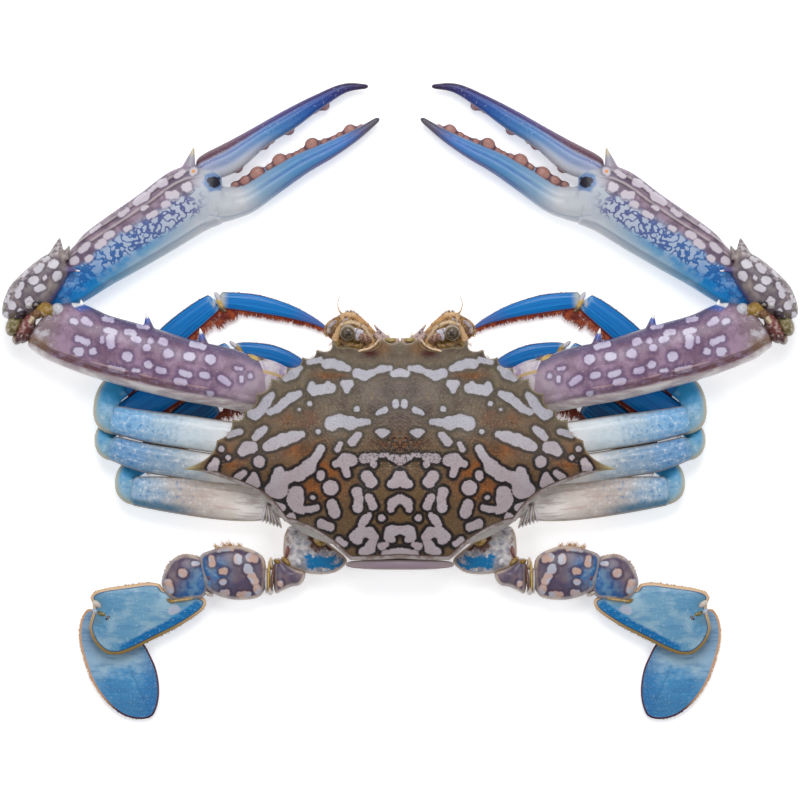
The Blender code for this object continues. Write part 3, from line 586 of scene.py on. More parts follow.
PALM = [
    (125.2, 37.4, 6.8, 10, 7.4, 40), (121.6, 39.4, 6.8, 17.6, 9.4, 40), (115.6, 44.5, 7.6, 21.2, 12, 34),
    (107.3, 50.8, 8.0, 21.6, 14.4, 15), (97, 57.2, 7.9, 22.5, 16, 0),
    (86, 64.2, 7.9, 23.6, 16.4, 0), (75.4, 71.2, 7.9, 24.6, 16.4, 0), (67.4, 73.2, 7.8, 22, 15.4, -22),
    (61.8, 70.8, 7, 13.6, 12, -30), (54.6, 71.9, 6.2, 10.4, 9.6, 0), (45, 78.2, 5.8, 9.2, 8.8, 0),
    (35, 84.5, 5.4, 7.9, 8, 0), (25, 89.5, 4.8, 6.2, 6.8, 0), (15.6, 94.9, 4.2, 4, 4.8, 0),
    (7.3, 100.8, 3.6, 1.7, 2.6, 0),
]
FREE_FINGER = [
    (72.0, 81.0, 7.4, 8.6, 9.4), (67.6, 83.5, 7.6, 10.2, 10.4), (60.5, 86.7, 7.2, 11, 11),
    (50, 94.0, 6.4, 8.2, 8.6),
    (40, 100, 5.8, 7.6, 7.6), (30, 106.2, 5, 5.6, 6.2), (20, 111.4, 4.2, 3.5, 4.4),
    (11.2, 112.2, 3.4, 1.5, 2.4),
]
ARM_SPOTS = [  # x, y, half length, half width, lean in degrees
    (67.5, 14.5, 2, 1.9), (75, 15.5, 2.2, 1.6), (82.5, 16.5, 1.9, 1.8), (84.2, 20.8, 2, 1.5),
    (72, 19.4, 3.2, 1.2), (91.5, 26.2, 2.5, 1), (97, 15.5, 2, 1.9), (89.5, 12.5, 1.6, 1.5),
    (85, 10.5, 2.2, 1.2), (76.5, 9.4, 2.6, 1.2), (69.5, 8.9, 2, 1.2), (62.5, 7, 2.8, 1.2, 35),
    (78, 6.5, 2.5, 1.3), (67.5, 2.3, 1.5, 1), (53.5, 8.5, 1, 1), (56.5, 7.5, 1.4, 0.8, 90),
    (57.5, 11.3, 1.5, 0.8), (96, 24, 2.5, 1.2), (94, 21.5, 2.2, 1.2), (88.7, 21, 1.2, 1.1),
    (90, 18.5, 1.4, 1.3), (103, 24.5, 2.6, 1.2), (103, 21, 2.9, 1.6, 90), (106, 21.5, 1.5, 0.8, 90),
    (104, 28.7, 2.3, 1), (111.5, 28, 2.3, 1.2, 30), (116, 28, 1.7, 1.1), (113, 21.2, 3.2, 1.2, 20),
    (109.3, 17.2, 1.5, 1.4), (114.3, 17.2, 2.1, 1.6), (101, 11, 3.4, 1.1), (94, 10.6, 1.6, 0.8),
]
WRIST_SPOTS = [
    (123.7, 48.5, 1.9, 1.6), (122.2, 44.3, 1.9, 1.6), (128.7, 46.9, 2.2, 1.1, -45), (130.5, 42.7, 1.8, 1.5),
    (128.3, 39.9, 2.1, 1.2, -30), (131.8, 34.7, 2.0, 1.6, 60), (135.6, 40, 2.3, 0.9, -55),
    (138.3, 33.9, 1.7, 1.4, 70),
    (136, 37.4, 1.2, 1.0), (140.6, 30.1, 1.4, 0.9, -70), (133.7, 45, 1.6, 0.6, -50),
    (135.2, 31.6, 1.2, 0.9, 30),
    (140.0, 36.2, 1.5, 0.5, -70), (126.6, 43.6, 0.9, 0.7), (126.4, 50.2, 1.5, 0.7, -35),
]
PALM_SPOTS = [
    (73.7, 81.6, 1.6, 1.3), (84.8, 77.4, 2.2, 1.4, -30), (92.2, 71.8, 3.6, 1.4, -32),
    (98.6, 66.8, 2.4, 0.9, -35),
    (103.6, 58.9, 2.2, 1.3, -30), (106.9, 55.6, 2.4, 1.3, -35), (112.6, 54.4, 2.8, 1.1, -40),
    (116.2, 49.8, 1.8, 1.5), (88.4, 66.1, 2.4, 1.0, -30), (81.3, 73.2, 2.6, 1.5, -10), (76, 75.9, 1.9, 1.7),
    (91, 68.6, 1.6, 0.8, -30), (108.6, 61.2, 2.6, 0.6, -40), (78.5, 80.6, 2.4, 0.9, -35),
    (88, 75.6, 2.2, 0.6, -35),
    (97, 61.2, 1.6, 0.9, -30), (111, 50.4, 1.6, 1.2, -30), (83.5, 69.8, 1.8, 1.1, -20),
]
ARM_SPINES = [  # foot, tip, radius at the foot
    ((69.2, 15.5, 16), (71.4, 25.9, 16.5), 3.0), ((88.8, 21, 16.5), (90.5, 31.4, 17), 3.2),
    ((111, 26, 16.5), (113.8, 36, 17), 3.2),
]
WRIST_SPINES = [
    ((122.8, 50.0, 11), (121.4, 58.0, 12), 3.8), ((119.8, 50.4, 12), (117.8, 55.4, 12.4), 1.9),
    ((122.4, 46.8, 12.4), (113.8, 46, 17.0), 1.9),
]
PALM_SPINES = [((75.4, 83.0, 9), (73.6, 90.4, 9.5), 2.4)]
# Rounded biting teeth: x, y of the knob's middle and its radius.
FIXED_TEETH = [
    (14, 97.3, 1.0), (17.9, 96.4, 2.1), (21.6, 94.6, 1.0), (23.6, 93.4, 0.9), (27, 92.3, 1.1),
    (31.5, 91.4, 2.3), (35, 88.9, 1.1), (37, 87.8, 1.0), (39.6, 86.9, 1.0), (43, 85.5, 2.5),
    (46.6, 83.3, 1.1),
    (51, 80.9, 2.5), (55.3, 78.3, 1.9), (59, 76.7, 1.5),
]
FREE_TEETH = [
    (26.9, 105.2, 1.6), (30.4, 103.6, 0.8), (33.4, 102.0, 0.8), (36.8, 99.5, 0.8), (39.7, 96.6, 1.8),
    (43.2, 95.2, 0.9), (46, 92.8, 0.9), (48.5, 91.0, 1.5), (52, 89.4, 0.8), (54.8, 87.6, 0.8),
    (58.2, 83.2, 1.9),
]


def dabs(rows, lean=15):
    """Oval spots as short runs of round dabs."""
    chains = []
    for x, y, long, wide, *own in rows:
        way = math.radians(own[0] if own else lean)
        dx, dy = math.cos(way) * (long - wide), math.sin(way) * (long - wide)
        chains.append([(x - dx, y - dy, wide), (x + dx, y + dy, wide)])
    return chains


def fuse(points, faces, spines=(), knobs=(), voxel=0.42):
    """Grows spines and knobs out of a closed shape, so that they run into its surface."""
    bm = bmesh.new()
    corners = [bm.verts.new(p) for p in points]
    for face in faces:
        bm.faces.new([corners[i] for i in face])
    bmesh.ops.recalc_face_normals(bm, faces=bm.faces)
    for foot, tip, radius in spines:
        foot, tip = Vector(foot), Vector(tip)
        turn = (tip - foot).to_track_quat("Z", "Y").to_matrix().to_4x4()
        turn.translation = (foot + tip) / 2
        bmesh.ops.create_cone(
            bm, cap_ends=True, segments=24, radius1=radius, radius2=0.25, depth=(tip - foot).length,
            matrix=turn,
        )
    small = [
        tuple(((p + q) / 2 for p, q in zip(a[:3], b[:3]))) + (0.8 * min(a[3], b[3]),)
        for a, b in zip(knobs, knobs[1:])
    ]
    for x, y, high, radius in list(knobs) + small:
        place = Matrix.Translation((x, y, high)) @ Matrix.Rotation(math.radians(-32), 4, "Z")
        bmesh.ops.create_icosphere(
            bm, subdivisions=3, radius=radius, matrix=place @ Matrix.Diagonal((1.2, 0.95, 0.8, 1)),
        )
    mesh = bpy.data.meshes.new("growing")
    bm.to_mesh(mesh)
    bm.free()
    made = bpy.data.objects.new("growing", mesh)
    bpy.context.scene.collection.objects.link(made)
    grow = made.modifiers.new("grow", "REMESH")
    grow.mode, grow.voxel_size = "VOXEL", voxel
    soften = made.modifiers.new("soften", "SMOOTH")
    soften.factor, soften.iterations = 0.5, 3
    fused = bpy.data.meshes.new_from_object(made.evaluated_get(bpy.context.evaluated_depsgraph_get()))
    bpy.data.objects.remove(made)
    points = np.zeros(len(fused.vertices) * 3)
    fused.vertices.foreach_get("co", points)
    points = points.reshape(-1, 3)
    faces = [tuple(f.vertices) for f in fused.polygons]
    bpy.data.meshes.remove(fused)
    points[:, 2] = np.maximum(points[:, 2], 0.0)
    return points, faces


def tooth_distance(points, knobs):
    """How far each point lies outside the nearest biting tooth, seen from above."""
    return np.min([np.linalg.norm(points[:, :2] - (x, y), axis=1) - 1.2 * r for x, y, _, r in knobs], axis=0)


def placed_on(stations, points):
    """How far along a limb each point lies, 0 to 1, and how far across and over its middle."""
    fine = along_curve([tuple(s) + (0,) * (6 - len(s)) for s in stations], 240)
    slope = np.gradient(fine[:, :3], axis=0)
    way = np.arctan2(-slope[:, 0], slope[:, 1])
    right = np.column_stack([np.cos(way), np.sin(way)])
    nearest = np.empty(len(points), int)
    for first in range(0, len(points), 20000):
        some = points[first:first + 20000, :2]
        apart = ((some[:, None] - fine[None, :, :2]) ** 2).sum(2)
        nearest[first:first + 20000] = apart.argmin(1)
    gone = gone_along(fine[:, :3])
    off = points[:, :2] - fine[nearest, :2]
    side = (off * right[nearest]).sum(1) / (fine[nearest, 3] / 2)
    over = (points[:, 2] - fine[nearest, 2]) / (fine[nearest, 4] / 2)
    return {"along": gone[nearest] / gone[-1], "side": side, "top": over}


def spine_share(points, spines):
    """1 at the tips of the spines, falling to 0 at their feet."""
    best = np.zeros(len(points))
    for foot, tip, radius in spines:
        foot, tip = np.array(foot), np.array(tip)
        step = tip - foot
        f = (points - foot) @ step / (step @ step)
        apart = np.linalg.norm(points - foot - np.clip(f, 0, 1)[:, None] * step, axis=1)
        best = np.maximum(best, np.where(apart < radius + 0.6, np.clip(f, 0, 1), 0))
    return best


# The base that carries the arm: white and lilac, with a yellow crest.
points, faces, marks = limb(ARM_BASE, ends=(1.5, 1.2), step=0.5, around=56)
base = Finish("lilac base shell", roughness=0.34, coat=0.12)
cloud = base.noise(4, 3, 0.6)
colour = base.mix((208, 200, 204), (166, 146, 178), (cloud, 0.4, 0.62))
colour = base.mix(colour, (196, 166, 116), (base.away("side", -0.45), 0.12, 0.02))
base.bump(cloud, 0.4, 0.5)
pair("arm_base", points, faces, marks, base.done(colour), "pale_shell", "arm_base")


def arm_ridges(along, side, top):
    """A long keel runs down the arm, with a shallow channel beside it."""
    keel = 0.45 * np.exp(-(((side - 0.5 - 0.1 * along) / 0.07) ** 2)) * (top > 0)
    return keel - 0.3 * np.exp(-(((side - 0.72) / 0.12) ** 2)) * (top > 0)


points, faces, _ = limb(ARM, ends=(1.2, 2.0), square=2.25, step=0.6, around=64, swell=arm_ridges)
points, faces = fuse(points, faces, ARM_SPINES)
marks = placed_on(ARM, points)
marks["spot"] = capsule_distance(points[:, :2], dabs(ARM_SPOTS)) + 0.12
marks["spine"] = spine_share(points, ARM_SPINES)
marks["below"] = np.clip(-marks["top"] * 1.6 - 0.1, 0, 1)
arm = Finish("spotted mauve shell", roughness=0.3, coat=0.16)
apart = arm.stray("spot", arm.noise(1.8, 3, 0.6), 1.7)
cloud = arm.noise(7, 3, 0.6, 8)
grain = arm.noise(0.9, 3, 0.6, 2)
colour = arm.mix((160, 132, 156), (122, 94, 116), (cloud, 0.36, 0.64))
colour = arm.mix(colour, (182, 164, 178), ("along", 0.3, 0.0), 0.75)
colour = arm.mix(colour, (78, 70, 106), ("side", -0.6, -0.92), 0.85)
colour = arm.mix(colour, (136, 120, 118), ("along", 0.86, 0.98), 0.7)
colour = arm.mix(colour, (92, 70, 106), (apart, 1.9, 0.5), 0.62)
colour = arm.mix(colour, arm.mix((202, 194, 214), (186, 172, 200), (cloud, 0.4, 0.6)), (apart, 0.3, -0.3))
keel = arm.math("ADD", "side", arm.math("MULTIPLY", "along", -0.22))
colour = arm.mix(
    colour, (104, 62, 62), (keel, 0.36, 0.48), (keel, 0.7, 0.6),
    (arm.noise(2.8, 2, 0.6, 13, (15, 2.5)), 0.42, 0.56), ("along", 0.25, 0.5), 0.8,
)
colour = arm.mix(
    colour, (186, 158, 150), (arm.away(keel, 0.38), 0.035, 0.01), (arm.noise(5, 2, 0.5, 3), 0.42, 0.6), 0.7,
)
far = arm.band("along", 0.9, 0.95)
colour = arm.mix(colour, (198, 192, 200), far, (arm.noise(3.4, 3, 0.6, 27), 0.5, 0.6), 0.7)
colour = arm.mix(colour, (118, 84, 54), far, ("side", 0.3, 0.6), (cloud, 0.62, 0.45), 0.75)
under = arm.mix((218, 210, 208), (176, 160, 164), (arm.noise(3, 3, 0.6, 4, (15, 4)), 0.4, 0.64))
colour = arm.mix(colour, under, (keel, 0.58, 0.7))
colour = arm.mix(colour, under, ("below", 0.2, 0.6))
colour = arm.mix(colour, (70, 96, 170), ("spine", 0.5, 0.72))
colour = arm.mix(colour, (244, 240, 236), ("spine", 0.74, 0.84))
colour = arm.mix(colour, (226, 206, 214), (grain, 0.58, 0.7), 0.25)
arm.bump(grain, 0.35, 0.12)
arm.bump(cloud, 0.4, 0.5)
spotted_mauve = arm.done(colour, arm.math("ADD", 0.24, arm.math("MULTIPLY", grain, 0.16)))
pair("arm", points, faces, marks, spotted_mauve, "violet_shell", "arm")

# The wrist: a stout knuckle in grey brown with round white spots, blue where it bends.
points, faces, _ = limb(WRIST, ends=(1.5, 1.5), square=2.2, step=0.5, around=56)
points, faces = fuse(points, faces, WRIST_SPINES)
marks = placed_on(WRIST, points)
marks["spot"] = capsule_distance(points[:, :2], dabs(WRIST_SPOTS, -30))
marks["spine"] = spine_share(points, WRIST_SPINES[2:])
wrist = Finish("spotted grey-brown shell", roughness=0.32, coat=0.14)
apart = wrist.stray("spot", wrist.noise(1.8, 3, 0.6), 2.0)
cloud, grain = wrist.noise(5, 3, 0.6, 8), wrist.noise(0.9, 3, 0.6, 2)
colour = wrist.mix((148, 134, 130), (106, 94, 100), (cloud, 0.36, 0.64))
colour = wrist.mix(colour, (98, 88, 62), ("along", 0.2, 0.05), 0.75)
colour = wrist.mix(colour, (72, 66, 128), ("side", -0.7, -0.95), ("along", 0.3, 0.4), 0.8)
colour = wrist.mix(colour, (78, 66, 84), (apart, 1.5, 0.4), 0.55)
colour = wrist.mix(colour, (200, 194, 202), (apart, 0.3, -0.2))
colour = wrist.mix(
    colour, (186, 178, 182), ("side", 0.4, 0.9), (wrist.noise(1.6, 3, 0.7, 5, (-50, 2.5)), 0.46, 0.58), 0.8,
)
colour = wrist.mix(colour, (86, 78, 132), ("spine", 0.35, 0.6))
colour = wrist.mix(colour, (244, 240, 236), ("spine", 0.78, 0.9))
wrist.bump(grain, 0.35, 0.12)
wrist.bump(cloud, 0.4, 0.6)
pair("wrist", points, faces, marks, wrist.done(colour), "violet_shell", "wrist")


def palm_ridges(along, side, top):
    """Three grained keels run down the upper face, and a groove runs on towards the fingers."""
    lift = 0.0
    for place, high in ((0.84, 0.35), (0.62, 0.4), (-0.78, 0.35)):
        lift = lift + high * np.exp(-(((side - place) / 0.06) ** 2))
    groove = -0.45 * np.exp(-(((side - 0.12) / 0.16) ** 2)) * (along > 0.56)
    return (lift * (along < 0.56) + groove) * (top > 0)


points, faces, _ = limb(PALM, ends=(1.5, 1.5), square=2.25, step=0.6, around=64, swell=palm_ridges)
knobs = [
    (x + 0.1 * r, y + 0.1 * r + 0.1, 4.6 - (58 - x) * 0.03, 0.94 * max(r, 1.3))
    for x, y, r in FIXED_TEETH
]
points, faces = fuse(points, faces, PALM_SPINES, knobs, voxel=0.45)
marks = placed_on(PALM, points)
marks["spot"] = capsule_distance(points[:, :2], dabs(PALM_SPOTS, -33))
marks["tooth"] = tooth_distance(points, knobs)
marks["spine"] = spine_share(points, PALM_SPINES)
marks["socket"] = np.linalg.norm(
    (points[:, :2] - (66.6, 77.6)) @ np.array([[0.8, 0.35], [-0.5, 0.8]]), axis=1,
)
marks["dot"] = np.linalg.norm(points[:, :2] - (73.7, 81.6), axis=1)
hand = Finish("blue claw shell", roughness=0.34, coat=0.08)
cloud, grain = hand.noise(6, 3, 0.6, 8), hand.noise(0.9, 3, 0.6, 2)
along, side = hand.mark("along"), hand.mark("side")
blue = hand.ramp(
    along,
    [
        (0.0, (4, 116, 186)), (0.12, (16, 122, 190)), (0.26, (80, 150, 196)), (0.42, (176, 186, 198)),
        (0.58, (194, 195, 200)), (0.64, (130, 160, 186)), (0.74, (84, 138, 184)), (0.88, (66, 120, 188)),
        (0.95, (66, 74, 140)),
    ],
)
under = hand.ramp(
    along,
    [
        (0.0, (10, 116, 184)), (0.14, (60, 146, 190)), (0.24, (152, 182, 200)), (0.42, (204, 208, 214)),
        (0.58, (196, 200, 208)), (0.64, (140, 164, 192)), (0.7, (70, 106, 162)), (0.82, (70, 70, 132)),
        (1.0, (62, 54, 82)),
    ],
)
colour = hand.mix(blue, under, (side, -0.5, -0.86))
colour = hand.mix(colour, (206, 210, 214), (cloud, 0.45, 0.7), (along, 0.66, 0.56), 0.3)
net = hand.away(hand.noise(3.1, 1.6, 0.6, 6), 0.5)
veins = hand.times((net, 0.075, 0.04), (side, -0.56, -0.36), (side, 0.42, 0.2), (along, 0.5, 0.42))
inked = hand.mix((18, 92, 160), (76, 82, 138), (along, 0.12, 0.42))
netted = hand.times((side, -0.5, -0.3), (side, 0.4, 0.2), (along, 0.48, 0.4))
colour = hand.mix(colour, (186, 190, 206), netted, (along, 0.06, 0.24), 0.75)
colour = hand.mix(colour, inked, veins, 0.92)
upper = hand.mix((150, 128, 144), (104, 84, 104), (cloud, 0.38, 0.62))
top_band = hand.times(
    (hand.math("ADD", side, hand.math("MULTIPLY", cloud, 0.5)), 0.4, 0.62), (along, 0.5, 0.44),
)
colour = hand.mix(colour, upper, top_band)
for place in (0.62, 0.84):
    line = hand.away(side, place)
    colour = hand.mix(colour, (190, 180, 180), (line, 0.05, 0.02), top_band, 0.6)
    edge = hand.away(side, place - 0.07)
    colour = hand.mix(colour, (70, 54, 60), (edge, 0.04, 0.01), top_band, 0.6)
apart = hand.stray("spot", hand.noise(2, 3, 0.6), 1.6)
colour = hand.mix(colour, (84, 72, 100), (apart, 1.2, 0.4), 0.35)
colour = hand.mix(colour, (200, 190, 200), (apart, 0.35, -0.3))
colour = hand.mix(colour, (224, 150, 60), ("dot", 0.8, 0.4))
groove = hand.times((hand.away(side, 0.1), 0.16, 0.04), (along, 0.6, 0.7))
colour = hand.mix(colour, (40, 92, 170), groove, 0.6)
colour = hand.mix(colour, (170, 200, 228), (side, 0.45, 0.85), (along, 0.56, 0.62), 0.25)
colour = hand.mix(colour, (120, 140, 178), (hand.away(side, -0.8), 0.05, 0.02), 0.35)
colour = hand.mix(colour, (86, 78, 92), (along, 0.9, 0.98))
# The teeth are brown-pink. Over that, each knob is painted lighter at its crest as a painted highlight and
# darker towards its edge and foot as painted shade.
tooth_tone_and_shade = hand.mix((168, 122, 112), (96, 64, 72), ("tooth", -1.0, 0.1))
colour = hand.mix(colour, tooth_tone_and_shade, ("tooth", 0.45, 0.1), (side, 0.84, 1.02))
dip = hand.stray("socket", hand.noise(3, 2, 0.5, 2), 3.0)
colour = hand.mix(colour, (40, 104, 170), (dip, 3.6, 2.6), 0.7)
colour = hand.mix(colour, (24, 22, 40), (dip, 2.5, 1.9))
colour = hand.mix(colour, (198, 186, 160), ("spine", 0.45, 0.8))
hand.bump(grain, 0.3, 0.1)
hand.bump(cloud, 0.35, 0.6)
blue_claw = hand.done(colour, hand.math("ADD", 0.28, hand.math("MULTIPLY", grain, 0.16)))
pair("palm", points, faces, marks, blue_claw, "sky_shell", "palm")


def finger_grooves(along, side, top):
    """Two long channels run down the upper face of the finger."""
    return -0.35 * (np.exp(-((side - 0.35) / 0.14) ** 2) + np.exp(-((side + 0.3) / 0.14) ** 2)) * (top > 0)


points, faces, _ = limb(FREE_FINGER, ends=(3, 1.5), square=2.2, step=0.5, around=56, swell=finger_grooves)
knobs = [
    (x - 0.1 * r, y - 0.14 * r - 0.12, 4.8 - (58 - x) * 0.03, 0.94 * max(r, 1.2))
    for x, y, r in FREE_TEETH
]
points, faces = fuse(points, faces, (), knobs, voxel=0.4)
marks = placed_on(FREE_FINGER, points)
marks["tooth"] = tooth_distance(points, knobs)
free = Finish("violet finger shell", roughness=0.36, coat=0.06)
cloud, grain = free.noise(5, 3, 0.6, 8, (-32, 4)), free.noise(0.9, 3, 0.6, 2)
along, side = free.mark("along"), free.mark("side")
core = free.ramp(
    along,
    [
        (0.0, (170, 172, 196)), (0.15, (140, 156, 190)), (0.42, (78, 132, 186)), (0.66, (30, 82, 158)),
        (0.8, (34, 48, 122)), (0.93, (56, 44, 84)), (1.0, (54, 36, 44)),
    ],
)
crest = free.ramp(
    along,
    [
        (0.0, (96, 62, 72)), (0.22, (98, 66, 84)), (0.45, (76, 66, 122)), (0.75, (50, 40, 98)),
        (0.95, (58, 40, 52)),
    ],
)
colour = free.mix(core, (200, 200, 208), (side, -0.1, -0.75), (along, 0.5, 0.2))
colour = free.mix(colour, crest, (free.math("ADD", side, free.math("MULTIPLY", cloud, 0.3)), 0.5, 0.8))
colour = free.mix(colour, (48, 70, 150), (free.away(side, 0.3), 0.14, 0.02), 0.5)
# The teeth are brown-pink. Over that, each knob is painted lighter at its crest as a painted highlight and
# darker towards its edge and foot as painted shade.
tooth_tone_and_shade = free.mix((156, 124, 130), (96, 66, 84), ("tooth", -1.0, 0.1))
colour = free.mix(colour, tooth_tone_and_shade, ("tooth", 0.35, 0.05), (side, -0.84, -1.02))
colour = free.mix(colour, (226, 220, 236), (grain, 0.6, 0.72), 0.3)
free.bump(grain, 0.3, 0.1)
free.bump(cloud, 0.4, 0.4)
pair("free_finger", points, faces, marks, free.done(colour), "violet_shell", "finger")

# ------------------------------------------------------------------ soft joints of the claw limbs
# Between the hard pieces sit folds of tough skin and small bare knuckles: amber, olive and
# maroon at the elbow, bright blue inside the wrist, white at the knuckle of the moving finger.

KNUCKLES = [  # x, y, height, half length, half width, half height, lean, tint 0 to 1
    (121.8, 32.0, 17.4, 2.7, 2.3, 3.2, 60, 0.86), (126.4, 32.0, 16.4, 3.6, 2.9, 4.4, 10, 0.46),
    (129.2, 30.8, 16.0, 1.9, 2.6, 4.6, 60, 0.56), (124.0, 30.0, 16.8, 1.6, 1.4, 3.6, 30, 0.34),
    (129.6, 34.2, 15.6, 2.1, 1.5, 4.0, -20, 0.02), (132.2, 34.0, 15.6, 1.9, 1.5, 4.2, -60, 0.84),
    (131.2, 28.8, 14.4, 4.6, 1.5, 4.8, -55, 0.76), (133.2, 26.8, 14.2, 5.6, 2.5, 4.8, -55, 0.2),
    (135.4, 30.4, 15.0, 3.2, 1.4, 4.6, -35, 0.04), (137.5, 26.8, 13.2, 4.4, 3.0, 5.2, -62, 0.36),
    (133.2, 24.4, 12.6, 4.8, 2.6, 4.8, -58, 0.14), (135.2, 22.8, 13.2, 3.8, 1.8, 4.4, -50, 0.12),
    (136.6, 22.0, 12.2, 2.2, 1.7, 4.2, -60, 0.3),
    (125.0, 40.6, 9.6, 4.4, 3.2, 5.4, -52, 1.0), (65.9, 82.2, 8.4, 2.2, 1.8, 3.6, -60, 0.86),
    (66.8, 78.0, 8.0, 3.2, 2.2, 3.0, 110, 0.03), (69.4, 80.2, 8.2, 1.6, 3.2, 4.2, 15, 0.8),
    (52.6, 14.9, 12.4, 2.8, 1.3, 3.0, 20, 0.7),
]


def pebbles(rows):
    """Rounded lumps as one mesh, each with its own tint; see KNUCKLES for a row."""
    ball = bmesh.new()
    bmesh.ops.create_icosphere(ball, subdivisions=3, radius=1)
    unit = np.array([v.co[:] for v in ball.verts])
    shape = [[v.index for v in f.verts] for f in ball.faces]
    ball.free()
    points, faces, tints = [], [], []
    for x, y, high, long, wide, tall, lean, tint in rows:
        way = math.radians(lean)
        spin = np.array([[math.cos(way), math.sin(way), 0], [-math.sin(way), math.cos(way), 0], [0, 0, 1]])
        start = sum(len(p) for p in points)
        lump = (unit * (long, wide, tall)) @ spin + (x, y, high)
        lump[:, 2] = np.maximum(lump[:, 2], 0)
        points.append(lump)
        faces += [tuple(start + i for i in f) for f in shape]
        tints += [tint] * len(unit)
    return np.vstack(points), faces, {"tint": np.array(tints)}


skin = Finish("joint skin", roughness=0.28, coat=0.18)
fold = skin.noise(1.5, 3, 0.6)
colour = skin.ramp(
    "tint",
    [
        (0.0, (26, 28, 44)), (0.08, (60, 40, 42)), (0.2, (130, 74, 72)), (0.34, (112, 104, 66)),
        (0.46, (150, 116, 48)), (0.58, (120, 84, 62)), (0.7, (206, 170, 90)), (0.84, (206, 200, 204)),
        (0.95, (120, 160, 196)), (1.0, (20, 118, 184)),
    ],
)
colour = skin.mix(colour, (214, 204, 190), (fold, 0.52, 0.66), 0.5)
colour = skin.mix(colour, (50, 40, 46), (fold, 0.44, 0.34), 0.5)
skin.bump(fold, 0.6, 0.4)
joint_skin = skin.done(colour)
points, faces, marks = pebbles(KNUCKLES)
pair("claw_joints", points, faces, marks, joint_skin, "tan_shell")

# ------------------------------------------------------------------ the walking legs
# Three pairs of slender legs, each an upper leg, a knee, a shin and a claw-like last joint. The
# upper legs come out level under the shell, pale at the root and blue at the knee; the shins
# fold back under them and are a bright smooth blue.

LEG_PIECES = {
    "leg2_merus": [
        (37.7, -13, 6.6, 9, 7.4), (50, -14, 8, 11, 8.4), (62, -13.4, 9.2, 11.8, 8.8),
        (76, -11.4, 9.6, 12.0, 8.8), (90, -9.4, 9.6, 11.4, 8.6), (103.6, -6.6, 9.2, 9.8, 7.6),
    ],
    "leg2_carpus": [
        (98.5, -7.8, 8.0, 9.4, 6.4), (103.8, -6.6, 8.2, 10.2, 7.0), (105.0, -1.8, 7.2, 9.0, 6.6),
        (103.2, 2.8, 5.0, 9.6, 5.4), (99.6, 6.0, 3.4, 9.8, 4.8),
    ],
    "leg2_propodus": [
        (101.2, 4.4, 2.6, 10.4, 4.8), (91, 13.2, 2.2, 10.2, 4.6), (80, 24.2, 2.1, 9.6, 4.4),
        (71.5, 31.2, 2.1, 8.6, 4.2), (66.0, 35.2, 2.0, 7.0, 4),
    ],
    "leg2_dactyl": [
        (64.9, 35.7, 2.0, 6.0, 3.8), (57, 35.1, 1.9, 6.6, 3.6), (50, 34.1, 1.8, 6.7, 3.4),
        (40, 31.7, 1.6, 5.1, 3), (31, 28.3, 1.4, 2.6, 2.4), (25.5, 25.1, 1.2, 0.8, 1.6),
    ],
    "leg3_merus": [
        (38.4, -24.8, 6.6, 8.4, 7), (52, -25.4, 8.0, 11, 7.6), (66, -24.6, 9.0, 11, 8.2),
        (80, -22.4, 9.4, 10.6, 8.4), (92, -20.4, 9.6, 10.4, 8.2), (103.8, -16.8, 9.2, 8.6, 7.4),
    ],
    "leg3_carpus": [
        (98.6, -18.0, 7.8, 8.2, 6.0), (104.0, -16.8, 7.8, 8.8, 6.2), (105.8, -13.4, 6.2, 6.8, 5.4),
        (104.0, -10.4, 4.0, 7.2, 4.6), (101.2, -8.4, 2.9, 7.4, 4.4),
    ],
    "leg3_propodus": [
        (102.6, -8.2, 2.2, 9, 4.2), (91, -1.6, 2.1, 12, 4.4), (80, 5.8, 2.1, 12, 4.4),
        (69, 13.6, 2.0, 7.8, 4.2), (60.6, 18.2, 2.0, 6.0, 4),
    ],
    "leg3_dactyl": [
        (59.4, 18.0, 2.0, 4.8, 3.6), (54, 17.9, 1.8, 5.6, 3.4), (46, 16.4, 1.6, 6.6, 3),
        (38, 13.6, 1.4, 5.2, 2.6), (29.5, 9.2, 1.2, 1.0, 1.6),
    ],
    "leg4_merus": [
        (36.9, -36.4, 6.6, 9, 7.4), (49, -37.4, 8, 11.4, 8), (58, -36.6, 9, 13.4, 8.6),
        (70, -35.2, 9.5, 13.8, 8.6), (84, -33.6, 9.4, 12.6, 8.4), (96.4, -32.4, 8.8, 10.2, 7.4),
    ],
    "leg4_carpus": [
        (91.4, -33.4, 7.6, 9.4, 6.2), (96.4, -31.8, 7.7, 10.0, 6.4), (97.8, -27.6, 6.0, 7.8, 5.4),
        (95.6, -24.6, 4.0, 7.8, 4.6), (92.6, -22.4, 2.9, 7.8, 4.4),
    ],
    "leg4_propodus": [
        (93.4, -22.6, 2.2, 7.4, 4.2), (83.6, -14, 2.1, 12, 4.2), (74.4, -6.6, 2.1, 13, 4.2),
        (66.4, -0.6, 2.0, 9.4, 4),
    ],
    "leg4_dactyl": [
        (64.2, -1.5, 2.0, 4.8, 3.6), (57, 1.4, 1.6, 5.8, 3), (49, 3.2, 1.3, 4.8, 2.4),
        (39, 4.2, 1.0, 1.2, 1.5),
    ],
}
# The colours nearest the root are set lighter than the leg's own pale shell. This is painted light against
# the shade the shell and arm cast there. Towards the knee the colours are the leg's own blue.
PALE_ROOT_TO_BLUE_WITH_PAINTED_LIGHT = {  # colours of an upper leg from its root to the knee
    "leg2": [
        (238, 236, 238), (232, 236, 240), (198, 212, 220), (160, 188, 210), (124, 174, 216),
        (112, 166, 208),
    ],
    "leg3": [
        (254, 250, 246), (240, 236, 234), (166, 178, 188), (130, 156, 180), (104, 148, 190),
        (108, 152, 192),
    ],
    "leg4": [
        (250, 246, 242), (222, 210, 202), (188, 174, 166), (176, 170, 168), (156, 172, 188),
        (132, 168, 198),
    ],
}


def leg_keels(along, side, top):
    """Two faint lengthwise keels on the upper face."""
    return 0.16 * np.exp(-(((side - 0.45) / 0.1) ** 2)) + 0.16 * np.exp(-(((side + 0.45) / 0.1) ** 2))


